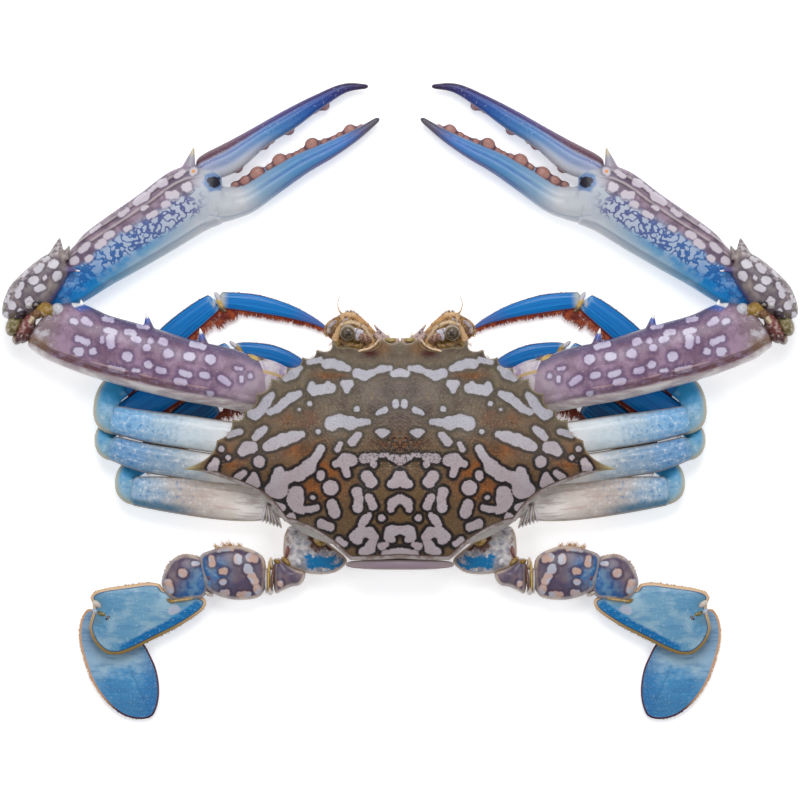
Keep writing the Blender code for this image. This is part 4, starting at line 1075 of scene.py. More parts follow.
def upper_leg_finish(name, stops):
    leg = Finish(name, roughness=0.36, coat=0.1)
    along, side = leg.mark("along"), leg.mark("side")
    lines = leg.streaks(5, 9)
    mottle = leg.noise(1.7, 4, 0.7, 3)
    place = leg.stray(along, leg.noise(6, 3, 0.6), 0.3)
    colour = leg.ramp(place, list(zip((0.2, 0.4, 0.58, 0.72, 0.86, 1.0), stops)))
    far = leg.band(along, 0.45, 0.8)
    colour = leg.mix(colour, (226, 228, 230), (mottle, 0.53, 0.68), 0.6)
    colour = leg.mix(colour, (64, 118, 168), (mottle, 0.47, 0.34), far, 0.75)
    if name.startswith("leg4"):
        colour = leg.mix(colour, (180, 152, 142), (lines, 0.5, 0.62), (along, 0.9, 0.5), 0.5)
        colour = leg.mix(colour, (62, 110, 136), (side, 0.3, 0.7), (along, 0.55, 0.75), 0.8)
    else:
        colour = leg.mix(colour, (190, 196, 202), (lines, 0.52, 0.64), 0.35)
    colour = leg.mix(colour, (150, 130, 106), (side, -0.86, -0.97), 0.7)
    colour = leg.mix(colour, (158, 138, 112), (side, 0.84, 0.97), 0.65)
    leg.bump(mottle, 0.3, 0.25)
    leg.bump(lines, 0.3, 0.4)
    return leg.done(colour)


def shin_finish(name, shade, edge, tip):
    shin = Finish(name, roughness=0.3, coat=0.16)
    along, side = shin.mark("along"), shin.mark("side")
    lines = shin.streaks(2, 16, 4)
    colour = shin.mix(shade, (6, 126, 194), (lines, 0.4, 0.66))
    colour = shin.mix(colour, (2, 84, 150), (lines, 0.46, 0.34), 0.7)
    if tip:
        colour = shin.mix(colour, (98, 104, 170), (along, 0.6, 0.9), 0.6)
        colour = shin.mix(colour, (110, 44, 46), (along, 0.93, 1.0))
        colour = shin.mix(colour, (176, 180, 176), (along, 0.1, 0.02))
    else:
        colour = shin.mix(
            colour, (150, 178, 200), (along, 0.93, 0.99), (shin.noise(2, 3, 0.7), 0.4, 0.6), 0.7,
        )
    colour = shin.mix(colour, edge, (side, 0.84, 0.94), 0.9)
    colour = shin.mix(colour, (122, 52, 40), (side, -0.8, -0.92))
    shin.bump(lines, 0.4, 0.2)
    return shin.done(colour)


knee = Finish("knee shell", roughness=0.34, coat=0.1)
along = knee.mark("along")
mottle = knee.noise(1.8, 4, 0.7, 5)
colour = knee.mix((122, 164, 190), (52, 146, 198), (along, 0.3, 0.75))
colour = knee.mix(colour, (196, 206, 208), (mottle, 0.54, 0.66), (along, 0.8, 0.4), 0.5)
colour = knee.mix(colour, (62, 116, 158), (mottle, 0.46, 0.34), 0.5)
colour = knee.mix(colour, (168, 150, 120), (along, 0.2, 0.06))
colour = knee.mix(colour, (166, 186, 188), ("side", 0.35, 0.85), (along, 0.9, 0.5), 0.75)
colour = knee.mix(colour, (182, 168, 138), ("side", 0.66, 0.9), 0.8)
knee.bump(mottle, 0.3, 0.25)
knee_shell = knee.done(colour)
bright = shin_finish("bright blue shin shell", (0, 112, 190), (40, 34, 60), False)
bright_tip = shin_finish("bright blue toe shell", (0, 108, 188), (60, 30, 44), True)
# The last leg's shin and toe lie under the arm. These copies of the blue shin finish carry painted shade:
# darker blues standing in for the shadow the arm casts there.
painted_shade_shin = shin_finish("blue shin shell with painted shade", (4, 70, 118), (30, 28, 44), False)
painted_shade_toe = shin_finish("blue toe shell with painted shade", (8, 62, 104), (30, 28, 44), True)
for key, stations in LEG_PIECES.items():
    leg, part = key.split("_")
    if part == "merus":
        material = upper_leg_finish(leg + " upper leg shell", PALE_ROOT_TO_BLUE_WITH_PAINTED_LIGHT[leg])
    elif part == "carpus":
        material = knee_shell
    elif part == "propodus":
        material = painted_shade_shin if leg == "leg4" else bright
    else:
        material = painted_shade_toe if leg == "leg4" else bright_tip
    round_ends = {"merus": (3.0, 2.2), "carpus": (3.0, 1.2)}.get(part, (1.6, 1.2))
    points, faces, marks = limb(stations, ends=round_ends, square=2.5, step=0.6, around=40, swell=leg_keels)
    pair(key, points, faces, marks, material, "pale_shell" if part == "merus" else "blue_shell", key)

LEG_KNUCKLES = [
    (65.2, 36.9, 3.2, 2.2, 0.9, 1.3, 60, 0.85),
    (64.4, 34.6, 3.2, 2.4, 1.0, 1.3, 60, 0.68), (63.4, 32.6, 3.0, 1.6, 0.9, 1.2, 40, 0.3),
    (66.6, 34.4, 3.4, 1.8, 0.8, 1.2, 90, 0.92), (59.6, 19.9, 3.2, 1.8, 0.8, 1.2, 40, 0.84),
    (57.4, 18.0, 3.2, 2.0, 0.9, 1.2, 50, 0.66), (55.8, 15.8, 3.4, 1.8, 0.8, 1.2, 60, 0.76),
]
points, faces, marks = pebbles(LEG_KNUCKLES)
pair("leg_joints", points, faces, marks, joint_skin, "tan_shell")

# ------------------------------------------------------------------ the swimming legs
# The hind pair is flattened for swimming: short rounded joints in mottled mauve and cream, then
# a broad blue plate and an oval paddle, both thin as card with a raised tan rim.

SWIM_PIECES = {  # outline, middle, underside and top height, how boxy
    "swim_coxa": (
        [(19, -57), (25, -51.5), (30, -48), (35, -46), (39, -45), (41, -47.4), (41.7, -52), (41.5, -56.5),
         (40, -59.5),
         (37, -60.5), (33, -62), (27, -62.3), (22, -61)], (32, -55), 3.6, 13.2, 2.6),
    "swim_ischium": (
        [(34, -61.4), (38, -59.8), (41.5, -57.2), (44.4, -56.8), (45.2, -62), (44.6, -68.8), (42, -68.2),
         (39, -66.8), (36, -66.2), (34.2, -64.2)], (40.6, -63), 3.6, 12.4, 2.4),
    "swim_merus": (
        [(48.2, -57.4), (50, -55), (54, -53), (58, -52), (63, -52.2), (67, -53.4), (71.2, -55.4),
         (71.6, -59.6),
         (70.2, -64), (69.2, -67.5), (65, -70), (60, -71.3), (55, -71.4), (50.4, -70.4), (48.3, -67.4),
         (47.8, -62)], (58.8, -62), 2.8, 14, 2.3),
    "swim_carpus": (
        [(70.2, -57.2), (74, -55.3), (78, -55.2), (81.4, -57), (84, -60.6), (85.2, -65), (84.2, -68.2),
         (82.2, -70.6), (79.6, -71.8), (76, -71.4), (70.4, -70.4), (68.4, -67),
         (69, -62)], (76.8, -63.4), 3.2, 12.2, 2.3),
    "swim_propodus": (
        [(84.5, -67.5), (86, -65.7), (90, -65.2), (95, -65.8), (100, -66.5), (105, -67.2), (109, -68.5),
         (110.6, -70.6), (109.8, -73), (109.8, -76), (110.7, -79), (111, -82), (109.5, -86), (107, -89),
         (104, -90.8), (100, -90.8), (95, -89), (90, -86.5), (85, -84), (80, -81.5), (75, -78.5), (71, -75.6),
         (69.3, -73), (70, -70.8), (75, -69), (81, -68)], (92, -77), 4.0, 8.9, 2.4),
    "swim_paddle": (
        [(110.6, -74.8), (112.6, -75.6), (114.1, -78.6), (114.8, -83), (114.3, -88), (112.6, -94),
         (110.4, -100), (107.5, -105),
         (103.5, -109.5), (98.5, -113), (93, -114.2), (89, -113.3), (87.2, -110.5), (86.2, -106),
         (86.3, -101),
         (87.3, -96), (89, -92), (91.4, -87.5), (96, -82), (104, -77)], (101.4, -95), 0.0, 3.2, 2.6),
}


def pillow(outline, middle, low, high, square=2.3, rise=0.0):
    """A rounded or plate-like piece inside a closed outline; rise lifts its rim a little."""
    line = along_curve([outline[-1]] + list(outline) + [outline[0], outline[1]], 900)
    share = np.linspace(0, len(outline) + 2, 900)
    line = line[(share >= 1) & (share < len(outline) + 1)]
    gone = gone_along(line)
    even = np.linspace(0, gone[-1], 181)[:-1]
    ring = read_off(even, gone, line[:, :2])
    middle = np.array(middle, float)
    rows = []
    for t in np.linspace(-math.pi / 2, math.pi / 2, 61)[1:-1]:
        out = abs(math.cos(t)) ** (2 / square)
        tall = math.copysign(abs(math.sin(t)) ** (2 / square), math.sin(t))
        flat = middle + (ring - middle) * out
        z = (low + high) / 2 + (high - low) / 2 * tall + rise * (tall > 0) * out**8
        rows.append(np.column_stack([flat, np.full(len(flat), z)]))
    points = np.vstack(rows + [[[*middle, low]], [[*middle, high]]])
    faces = ring_faces(len(rows), len(ring))
    span = ring.max(0) - ring.min(0)
    marks = {
        "edge": outline_distance(points[:, :2], ring),
        "over": (points[:, 2] > (low + high) / 2 - 0.01).astype(float),
        "u": (points[:, 0] - ring[:, 0].min()) / span[0], "v": (points[:, 1] - ring[:, 1].min()) / span[1],
    }
    return points, faces, marks


SWIM_SPOTS = [
    (52.8, -56.4, 2.4, 1.6, 15), (57.8, -56.8, 2.0, 1.4, 80), (62.4, -53.4, 3.2, 0.7, -5),
    (67.2, -57.5, 2.2, 1.1, 80),
    (54.2, -60.4, 1.9, 1.7, 60), (52.4, -63.6, 2.6, 1.5, 60), (50.8, -67.6, 1.8, 1.4, 80),
    (63, -61, 1.6, 1.3),
    (63.1, -65, 1.3, 1.2), (62.6, -68.7, 1.9, 1.0), (55.6, -69.4, 2.6, 1.1), (77.5, -61.9, 1.7, 1.6),
    (82.6, -66.6, 2.8, 1.4, 75), (73, -58.4, 1.4, 0.8), (42.6, -65.6, 1.3, 0.9, 60),
    (80.8, -75, 2.1, 1.4, -25),
]
mauve = Finish("mottled mauve shell", roughness=0.32, coat=0.16)
apart = mauve.stray("spot", mauve.noise(2.2, 3, 0.6), 1.6)
cloud = mauve.noise(6, 3, 0.6, 5)
tint = mauve.mark("tint")
colour = mauve.mix((118, 100, 108), (84, 72, 96), (cloud, 0.36, 0.64))
blue = mauve.mix((20, 92, 152), (96, 134, 168), (mauve.noise(3, 3, 0.6, 9), 0.4, 0.62))
colour = mauve.mix(colour, blue, tint)
colour = mauve.mix(colour, (70, 54, 74), (apart, 1.6, 0.4), 0.75)
cream = mauve.mix((192, 158, 144), (176, 178, 192), (mauve.noise(4, 2, 0.5, 7), 0.42, 0.6))
colour = mauve.mix(colour, cream, (apart, 0.3, -0.3))
colour = mauve.mix(
    colour, mauve.mix((196, 178, 164), (150, 136, 140), (cloud, 0.4, 0.6)), ("edge", 1.7, 0.6),
)
mauve.bump(cloud, 0.5, 0.7)
mauve.bump(mauve.noise(0.9, 3, 0.6), 0.3, 0.12)
mauve_shell = mauve.done(colour)
hip = Finish("hip shell", roughness=0.32, coat=0.12)
u, v = hip.mark("u"), hip.mark("v")
cloud = hip.noise(3.2, 3, 0.65, 5)
colour = hip.mix((196, 190, 190), (136, 136, 146), (cloud, 0.4, 0.6))
near = hip.stray(u, cloud, 0.5)
high = hip.stray(v, hip.noise(2.4, 3, 0.65, 9), 0.5)
colour = hip.mix(colour, (84, 48, 34), (near, 0.62, 0.5), (high, 0.44, 0.54))
colour = hip.mix(
    colour, (14, 108, 160), (near, 0.7, 0.6), (high, 0.42, 0.34), (high, 0.08, 0.18), (near, 0.06, 0.2),
)
colour = hip.mix(colour, (150, 84, 66), (u, 0.84, 0.97), (cloud, 0.42, 0.56))
colour = hip.mix(colour, (182, 160, 142), ("edge", 1.2, 0.5))
colour = hip.mix(colour, (206, 196, 190), ("over", 0.6, 0.4))
hip.bump(cloud, 0.7, 0.9)
hip_shell = hip.done(colour)

plate = Finish("blue plate shell", roughness=0.3, coat=0.18)
u, v, edge = plate.mark("u"), plate.mark("v"), plate.mark("edge")
cloud, speck = plate.noise(7, 4, 0.6, 3), plate.noise(0.9, 4, 0.7)
lines = plate.noise(1.6, 3, 0.6, 2, (-24, 6))
colour = plate.mix((120, 164, 190), (84, 140, 178), (u, 0.2, 1.0))
colour = plate.mix(colour, (158, 186, 200), (cloud, 0.45, 0.66), 0.6)
colour = plate.mix(colour, (74, 130, 172), (lines, 0.5, 0.62), 0.45)
colour = plate.mix(
    colour, plate.mix((6, 104, 166), (50, 136, 184), (lines, 0.5, 0.66)), ("keel", 0.6, -0.6),
)
colour = plate.mix(colour, (186, 204, 212), (speck, 0.56, 0.68), 0.4)
apart = plate.stray("spot", plate.noise(2, 3, 0.6), 1.0)
colour = plate.mix(colour, (170, 176, 194), (apart, 0.4, -0.2))
hollow = plate.times((u, 0.84, 0.94), (v, 0.36, 0.46), (v, 0.86, 0.74))
colour = plate.mix(colour, (78, 112, 116), hollow, 0.5)
colour = plate.mix(colour, (20, 70, 112), (edge, 1.5, 1.2))
rim = plate.mix((146, 118, 62), (206, 172, 134), (v, 0.2, 0.8))
colour = plate.mix(colour, rim, (edge, 1.15, 0.9))
plate.bump(speck, 0.3, 0.15)
plate.bump(lines, 0.5, 0.4)
plate_shell = plate.done(colour)

paddle = Finish("blue paddle shell", roughness=0.3, coat=0.18)
u, v, edge = paddle.mark("u"), paddle.mark("v"), paddle.mark("edge")
cloud, speck = paddle.noise(6, 4, 0.6, 3), paddle.noise(0.8, 4, 0.7)
lines = paddle.noise(1.3, 3, 0.6, 2, (-66, 7))
place = paddle.stray(v, cloud, 0.5)
colour = paddle.ramp(
    place, [(0.1, (62, 124, 172)), (0.34, (70, 140, 190)), (0.5, (150, 182, 204)), (0.7, (124, 160, 192))],
)
colour = paddle.mix(colour, (44, 110, 168), (u, 0.3, 0.06), 0.8)
colour = paddle.mix(colour, (146, 174, 202), (u, 0.6, 0.95), 0.5)
colour = paddle.mix(colour, (50, 108, 156), (lines, 0.5, 0.64), 0.4)
colour = paddle.mix(colour, (186, 202, 210), (speck, 0.55, 0.68), 0.35)
colour = paddle.mix(colour, (44, 96, 146), ("rib", 0.5, 0.15), 0.3)
colour = paddle.mix(colour, (74, 26, 44), (edge, 0.8, 0.5))
colour = paddle.mix(colour, (204, 152, 106), (edge, 0.9, 0.6), (u, 0.5, 0.75))
paddle.bump(speck, 0.3, 0.15)
paddle.bump(lines, 0.4, 0.3)
paddle.bump(paddle.band("rib", 0.0, 0.7), 0.3, 0.2)
paddle_shell = paddle.done(colour)
for key, (outline, middle, low, high, square) in SWIM_PIECES.items():
    thin = key in ("swim_propodus", "swim_paddle")
    points, faces, marks = pillow(outline, middle, low, high, square, 0.5 if thin else 0.0)
    marks["spot"] = capsule_distance(points[:, :2], dabs(SWIM_SPOTS, 0))
    x, y = points[:, 0], points[:, 1]
    patch = 1.3 * np.exp(-((x - 64.5) ** 2 / 12 + (y + 61.5) ** 2 / 26))
    outer = (x > 67.5) * np.clip((79 - x - 0.6 * (y + 62)) / 8, 0, 1)
    marks["tint"] = np.clip(patch + outer, 0, 1)
    marks["rib"] = capsule_distance(points[:, :2], [[(97, -95, 0.05), (89.8, -111.4, 0.05)]])
    marks["keel"] = capsule_distance(
        points[:, :2], [[(72.6, -73.4, 1.6), (80, -78.8, 1.6), (90, -84.2, 1.6), (99, -88.4, 1.2)]],
    )
    material = {
        "swim_coxa": hip_shell, "swim_propodus": plate_shell, "swim_paddle": paddle_shell,
    }.get(key, mauve_shell)
    pair(key, points, faces, marks, material, "blue_shell" if thin else "violet_shell", key)

SWIM_KNUCKLES = [
    (46.0, -58.4, 8.0, 2.4, 0.8, 4.6, 85, 0.76), (46.9, -63.0, 8.2, 6.2, 0.7, 5.0, 92, 0.7),
    (45.6, -64.0, 8.0, 5.4, 0.6, 4.8, 95, 0.24), (47.8, -64.6, 8.0, 4.8, 0.7, 4.6, 90, 0.84),
    (46.4, -68.0, 7.6, 1.9, 1.2, 3.8, 80, 0.82), (43.6, -57.8, 8.4, 1.8, 1.0, 3.6, 30, 0.46),
    (69.0, -59.6, 7.8, 2.6, 0.9, 4.4, 75, 0.6), (67.6, -66.4, 7.6, 2.6, 1.0, 4.2, 60, 0.68),
    (68.4, -69.2, 7.0, 2.0, 0.9, 3.4, 30, 0.8), (68.2, -63.6, 8.0, 2.4, 0.9, 4.4, 70, 0.16),
    (78.0, -71.4, 8.6, 4.6, 0.6, 2.0, -8, 0.66), (82.0, -71.8, 8.0, 1.6, 0.7, 1.8, 30, 0.46),
    (108.2, -72.9, 7.2, 2.0, 1.1, 1.9, 40, 0.8), (106.6, -76.4, 7.2, 2.2, 0.9, 1.9, 20, 0.36),
    (108.7, -75.6, 6.6, 1.6, 1.0, 1.8, 50, 0.92), (104.4, -77.8, 7.6, 1.2, 0.7, 1.5, -50, 0.1),
    (36.2, -57.5, 10.2, 2.0, 1.7, 3.2, 60, 0.85), (38.6, -49.5, 10.0, 2.6, 1.2, 3.2, 70, 0.82),
    (38.2, -46.0, 11.0, 1.8, 1.0, 3.0, 10, 0.84), (40.6, -57.6, 9.6, 2.4, 1.0, 3.4, 40, 0.46),
    (40.2, -54.0, 9.4, 2.8, 1.0, 3.6, 100, 0.22), (28.6, -50.2, 11.6, 2.6, 2.0, 2.6, 40, 0.66),
]
points, faces, marks = pebbles(SWIM_KNUCKLES)
pair("swimming_leg_joints", points, faces, marks, joint_skin, "tan_shell")

# Pleated skin stretches from the shell's rear corner to the root of the last walking leg.
pleats = []
for k in range(6):
    f = k / 5
    start = np.array([42.5 + 6.5 * f, -45.4 + 2.24 * f])
    end = np.array([46.6 + 0.8 * f, -35.6 - 0.8 * f])
    mid, long = (start + end) / 2, np.linalg.norm(end - start) / 2 + 0.6
    way = math.degrees(math.atan2(end[1] - start[1], end[0] - start[0]))
    pleats.append((*mid, 9.5 + 0.4 * (k % 2), long, 0.85, 6.0, way, 0.8 + 0.04 * (k % 2)))
points, faces, marks = pebbles(pleats)
pair("pleated_skin", points, faces, marks, joint_skin, "tan_shell")

# ------------------------------------------------------------------ the face
# Stalked glossy eyes sit in notches of the shell's front edge. Around and below them lie the
# feelers and the tan, ridged mouth plates, whose edges are bearded with fine hairs.

EYE_AT, EYE_SIZE = (18.5, 24.0, 20.4), 2.9
FEELERS = {
    "antenna": [
        (23.2, 20.6, 15.6, 3, 3), (22.0, 25, 16, 2.4, 2.4), (20.4, 29.4, 16.9, 1.2, 1.2),
        (21.9, 32.4, 17.4, 0.5, 0.5), (22.1, 34.8, 18, 0.35, 0.35), (21.4, 37, 18.6, 0.25, 0.25),
    ],
    "antennule": [(3.6, 21.6, 16.5, 1.7, 1.7), (6.5, 23.4, 16.9, 1.6, 1.6), (9.3, 26.9, 17.6, 0.5, 0.5)],
}
MOUTH_RIDGES = [  # x, y, height, breadth, thickness; a tint follows each run
    (
        [
            (8.4, 17, 11, 5, 6), (12, 21.4, 12, 9, 6), (17, 24.2, 12, 11, 6.4), (22.8, 25.4, 11.6, 8, 6),
            (25.6, 22.4, 11, 4, 5),
        ],
        0.5,
    ),
    ([(13.4, 19.6, 13, 4, 6), (17, 20.4, 13, 4, 6), (21, 20.2, 13, 3.6, 6), (24.4, 20.2, 12, 3, 5)], 0.38),
    ([(21.4, 29.2, 13.6, 2.4, 3), (23.6, 27, 13.6, 3.6, 3.4), (24.6, 23.8, 13.2, 2.6, 3)], 0.76),
    (
        [
            (0.2, 20.6, 17.2, 3, 3), (3, 20.8, 17.4, 2.8, 3), (6.4, 21.4, 17.2, 3, 3),
            (9.2, 24, 16.4, 2, 2.4),
        ],
        0.8,
    ),
    ([(6, 19, 9, 5, 5), (10, 22.6, 12, 4.6, 4.6), (14, 27, 14, 4.2, 4.4), (17, 30.4, 14.6, 2.6, 3.0)], 0.52),
    (
        [
            (9, 20, 14.4, 3, 3), (12.6, 25.2, 16.2, 2.2, 2.6), (16.6, 27.6, 17, 2.0, 2.2),
            (21.6, 26.9, 16.6, 1.6, 2),
        ],
        0.7,
    ),
    ([(12, 24.4, 13, 6, 6), (17, 27, 14, 6.4, 6), (21.6, 26.8, 14, 6, 5.4), (24.4, 24.6, 13, 3.6, 4)], 0.44),
    ([(15.6, 29.9, 15.8, 2.0, 2.2), (18.6, 30.2, 16, 2.6, 2.2), (21.2, 28.6, 16, 2.2, 2.2)], 0.6),
    ([(22.2, 28.2, 15.4, 1.8, 2), (24.8, 26.4, 15, 1.8, 2), (25.6, 23.6, 14.4, 1.5, 2)], 0.84),
    ([(18.4, 29.2, 16.6, 1.2, 1.4), (20.2, 27.6, 17, 1.4, 1.4), (20.8, 26.2, 17, 1.0, 1.2)], 0.9),
    ([(23.0, 25.4, 15.8, 2.6, 2.4), (24.2, 23.6, 15.2, 2.0, 2.2)], 0.2),
    (
        [
            (12.8, 21, 17, 2, 2.4), (14.2, 19.3, 17.6, 2, 2), (17.4, 19.6, 17.8, 2.0, 2),
            (21, 21.4, 17, 2.4, 2.6),
        ],
        0.42,
    ),
    ([(9.2, 21.6, 17.6, 1.6, 1.8), (10.4, 19.6, 18.2, 1.4, 1.6), (13, 18.4, 18.6, 1.2, 1.4)], 0.5),
    ([(1.4, 21.6, 18.6, 1.2, 1.4), (3.4, 21.2, 19, 1.4, 1.5), (5.4, 21.8, 18.6, 1.2, 1.4)], 0.36),
]
ORBIT_RIM = [
    (7.4, 21.6, 22.6, 0.8, 1.0), (9.2, 19.4, 22.7, 0.9, 1.0), (11.4, 18.2, 22.6, 0.9, 1.0),
    (14, 17.6, 22.6, 0.9, 1.0),
    (15.0, 16.4, 23.4, 1.0, 1.2), (14.7, 14.7, 24.2, 1.2, 1.2),
]


def gathered(parts):
    """Joins points, faces and marks of several closed shapes."""
    points, faces, marks = [], [], {}
    for some, shape, values in parts:
        shape = facing_out(some, shape)
        start = sum(len(p) for p in points)
        points.append(some)
        faces += [tuple(start + i for i in f) for f in shape]
        for key, value in values.items():
            marks.setdefault(key, []).append(value)
    return np.vstack(points), faces, {key: np.concatenate(value) for key, value in marks.items()}


def tinted(stations, tint, **how):
    points, faces, marks = limb(stations, **how)
    marks["tint"] = np.full(len(points), tint)
    return points, faces, marks


tan = Finish("tan mouth shell", roughness=0.4, coat=0.1)
fold, grain = tan.noise(1.6, 4, 0.65), tan.noise(0.5, 3, 0.7)
colour = tan.ramp(
    "tint",
    [
        (0.0, (84, 44, 30)), (0.2, (128, 88, 76)), (0.36, (158, 140, 60)), (0.44, (150, 104, 56)),
        (0.52, (196, 142, 84)), (0.6, (208, 164, 118)), (0.7, (220, 190, 156)), (0.77, (186, 148, 140)),
        (0.84, (178, 162, 168)), (0.92, (206, 204, 216)),
    ],
)
colour = tan.mix(colour, (206, 178, 130), (fold, 0.5, 0.64), 0.55)
colour = tan.mix(colour, (84, 46, 30), (fold, 0.48, 0.38), 0.8)
colour = tan.mix(colour, (232, 216, 190), (grain, 0.54, 0.66), 0.55)
tan.bump(fold, 0.8, 0.5)
tan.bump(grain, 0.4, 0.15)
tan_shell = tan.done(colour)
mouth = [tinted(s, t, ends=(0.6, 0.6), step=0.3, around=24) for s, t in MOUTH_RIDGES]
pair("maxilliped", *gathered(mouth), tan_shell, "tan_shell", "maxilliped")
for name, stations in FEELERS.items():
    tint = 0.6 if name == "antenna" else 0.84
    pair(name, *tinted(stations, tint, ends=(0.8, 0.3), step=0.4, around=20), tan_shell, "tan_shell", name)
pair("orbit_rim", *tinted(ORBIT_RIM, 0.7, ends=(0.4, 0.5), step=0.3, around=20), tan_shell, "tan_shell")
stalk = [
    tinted(
        [(10.6, 20.9, 19.6, 2.6, 3), (12.8, 22.2, 20, 3, 3.4), (15.0, 23.0, 20.2, 3.2, 3.6)], 0.2,
        ends=(0.8, 0.8), step=0.3,
    ),
    tinted(
        [(13.0, 23.8, 20.4, 1.6, 2.4), (15.0, 24.6, 21, 1.8, 2.4), (16.6, 25.2, 20.8, 1.2, 2)], 0.92,
        ends=(0.5, 0.5), step=0.3,
    ),
    tinted(
        [(14.8, 21.2, 20.4, 1.4, 2.4), (15.2, 22.8, 21.2, 1.6, 2.4), (14.4, 24.2, 21, 1.4, 2)], 0.88,
        ends=(0.5, 0.5), step=0.3,
    ),
]
pair("eyestalk", *gathered(stalk), tan_shell, "tan_shell", "eyestalk")

turn = np.linspace(0, 2 * math.pi, 64, endpoint=False)
ball = [
    np.column_stack([math.sin(t) * np.cos(turn), math.sin(t) * np.sin(turn), np.full(64, -math.cos(t))])
    for t in np.linspace(0, math.pi, 42)[1:-1]
]
points = np.array(EYE_AT) + EYE_SIZE * np.vstack(ball + [[[0, 0, -1]], [[0, 0, 1]]])
faces = ring_faces(len(ball), 64)
look = np.array([0.1, -0.22, 1.0]) / np.linalg.norm([0.1, -0.22, 1.0])
gaze = (points - EYE_AT) @ look / EYE_SIZE
eye = Finish("glossy eye", roughness=0.2, coat=0.35)
colour = eye.mix((150, 132, 112), (84, 70, 50), ("gaze", 0.45, 0.7))
colour = eye.mix(colour, (56, 42, 32), ("gaze", 0.8, 0.95))
colour = eye.mix(colour, (150, 138, 120), (eye.noise(1.1, 3, 0.7), 0.5, 0.66), 0.5)
eye.bump(eye.cells(0.22), 0.15, 0.03)
pair("eyeball", points, faces, {"gaze": gaze}, eye.done(colour), "eye", "eye")

# ------------------------------------------------------------------ bristles and beards
# Stiff bristles fringe the legs' inner edges, the paddles and the mouth. Each is a fine cone of
# horn growing from the shell; they are set out along the edges by one small node setup.


def bristle_nodes():
    """Nodes that stand a cone on each point, along its way, and make them real."""
    tree = bpy.data.node_groups.new("bristles", "GeometryNodeTree")
    for name, kind, value in (
        ("Roots", "NodeSocketGeometry", None), ("Thickness", "NodeSocketFloat", 0.0001),
        ("Unevenness", "NodeSocketFloat", 0.35), ("Horn", "NodeSocketMaterial", None),
    ):
        made = tree.interface.new_socket(name, in_out="INPUT", socket_type=kind)
        if value:
            made.default_value = value
    tree.interface.new_socket("Bristles", in_out="OUTPUT", socket_type="NodeSocketGeometry")
    nodes = {kind: tree.nodes.new(kind) for kind in (
        "NodeGroupInput", "NodeGroupOutput", "GeometryNodeMeshCone", "FunctionNodeAlignRotationToVector",
        "GeometryNodeInstanceOnPoints", "FunctionNodeRandomValue", "GeometryNodeRealizeInstances",
        "GeometryNodeSetMaterial", "GeometryNodeStoreNamedAttribute", "GeometryNodeInputPosition",
        "ShaderNodeCombineXYZ",
    )}
    given, cone = nodes["NodeGroupInput"], nodes["GeometryNodeMeshCone"]
    cone.inputs["Vertices"].default_value = 4
    cone.inputs["Radius Top"].default_value = 0.08
    cone.inputs["Radius Bottom"].default_value = 1.0
    cone.inputs["Depth"].default_value = 1.0
    way = tree.nodes.new("GeometryNodeInputNamedAttribute")
    way.data_type = "FLOAT_VECTOR"
    way.inputs["Name"].default_value = "way"
    long = tree.nodes.new("GeometryNodeInputNamedAttribute")
    long.inputs["Name"].default_value = "long"
    align, chance = nodes["FunctionNodeAlignRotationToVector"], nodes["FunctionNodeRandomValue"]
    align.axis = "Z"
    chance.inputs["Seed"].default_value = 11
    low, high, scaled = (tree.nodes.new("ShaderNodeMath") for _ in range(3))
    low.operation, high.operation, scaled.operation = "SUBTRACT", "ADD", "MULTIPLY"
    low.inputs[0].default_value = high.inputs[0].default_value = 1.0
    stand, store = nodes["GeometryNodeInstanceOnPoints"], nodes["GeometryNodeStoreNamedAttribute"]
    store.data_type, store.domain = "FLOAT_VECTOR", "INSTANCE"
    store.inputs["Name"].default_value = "root"
    join, real = nodes["ShaderNodeCombineXYZ"], nodes["GeometryNodeRealizeInstances"]
    coat = nodes["GeometryNodeSetMaterial"]
    for source, target in (
        (given.outputs["Roots"], stand.inputs["Points"]), (cone.outputs["Mesh"], stand.inputs["Instance"]),
        (way.outputs["Attribute"], align.inputs["Vector"]), (align.outputs[0], stand.inputs["Rotation"]),
        (given.outputs["Unevenness"], low.inputs[1]), (given.outputs["Unevenness"], high.inputs[1]),
        (low.outputs[0], chance.inputs[2]), (high.outputs[0], chance.inputs[3]),
        (chance.outputs[1], scaled.inputs[0]), (long.outputs["Attribute"], scaled.inputs[1]),
        (given.outputs["Thickness"], join.inputs[0]), (given.outputs["Thickness"], join.inputs[1]),
        (scaled.outputs[0], join.inputs[2]), (join.outputs[0], stand.inputs["Scale"]),
        (stand.outputs[0], store.inputs["Geometry"]),
        (nodes["GeometryNodeInputPosition"].outputs[0], store.inputs["Value"]),
        (store.outputs[0], real.inputs["Geometry"]), (real.outputs[0], coat.inputs["Geometry"]),
        (given.outputs["Horn"], coat.inputs["Material"]),
        (coat.outputs[0], nodes["NodeGroupOutput"].inputs[0]),
    ):
        tree.links.new(source, target)
    return tree


bristle_tree = bristle_nodes()


def fringe(line, gap, long, lean=0.0, spread=0.25, rise=0.1, rows=1, seed=1):
    """Roots, ways and lengths of bristles along a line of x, y, z, standing to its right."""
    rng = np.random.default_rng(seed)
    fine = along_curve(line, 300)
    gone = gone_along(fine)
    count = max(int(gone[-1] / gap), 2) * rows
    stops = rng.uniform(0, gone[-1], count)
    at = read_off(stops, gone, fine[:, :3])
    slope = np.gradient(fine, axis=0)
    ahead = read_off(stops, gone, slope)
    turn = np.arctan2(ahead[:, 0], -ahead[:, 1]) + math.radians(180 + lean) + rng.normal(0, spread, count)
    way = np.column_stack([np.cos(turn), np.sin(turn), rng.normal(rise, 0.12, count)])
    at = at + rng.normal(0, 0.1, (count, 3))
    return at, way, np.full(count, long) * rng.uniform(0.75, 1.15, count)


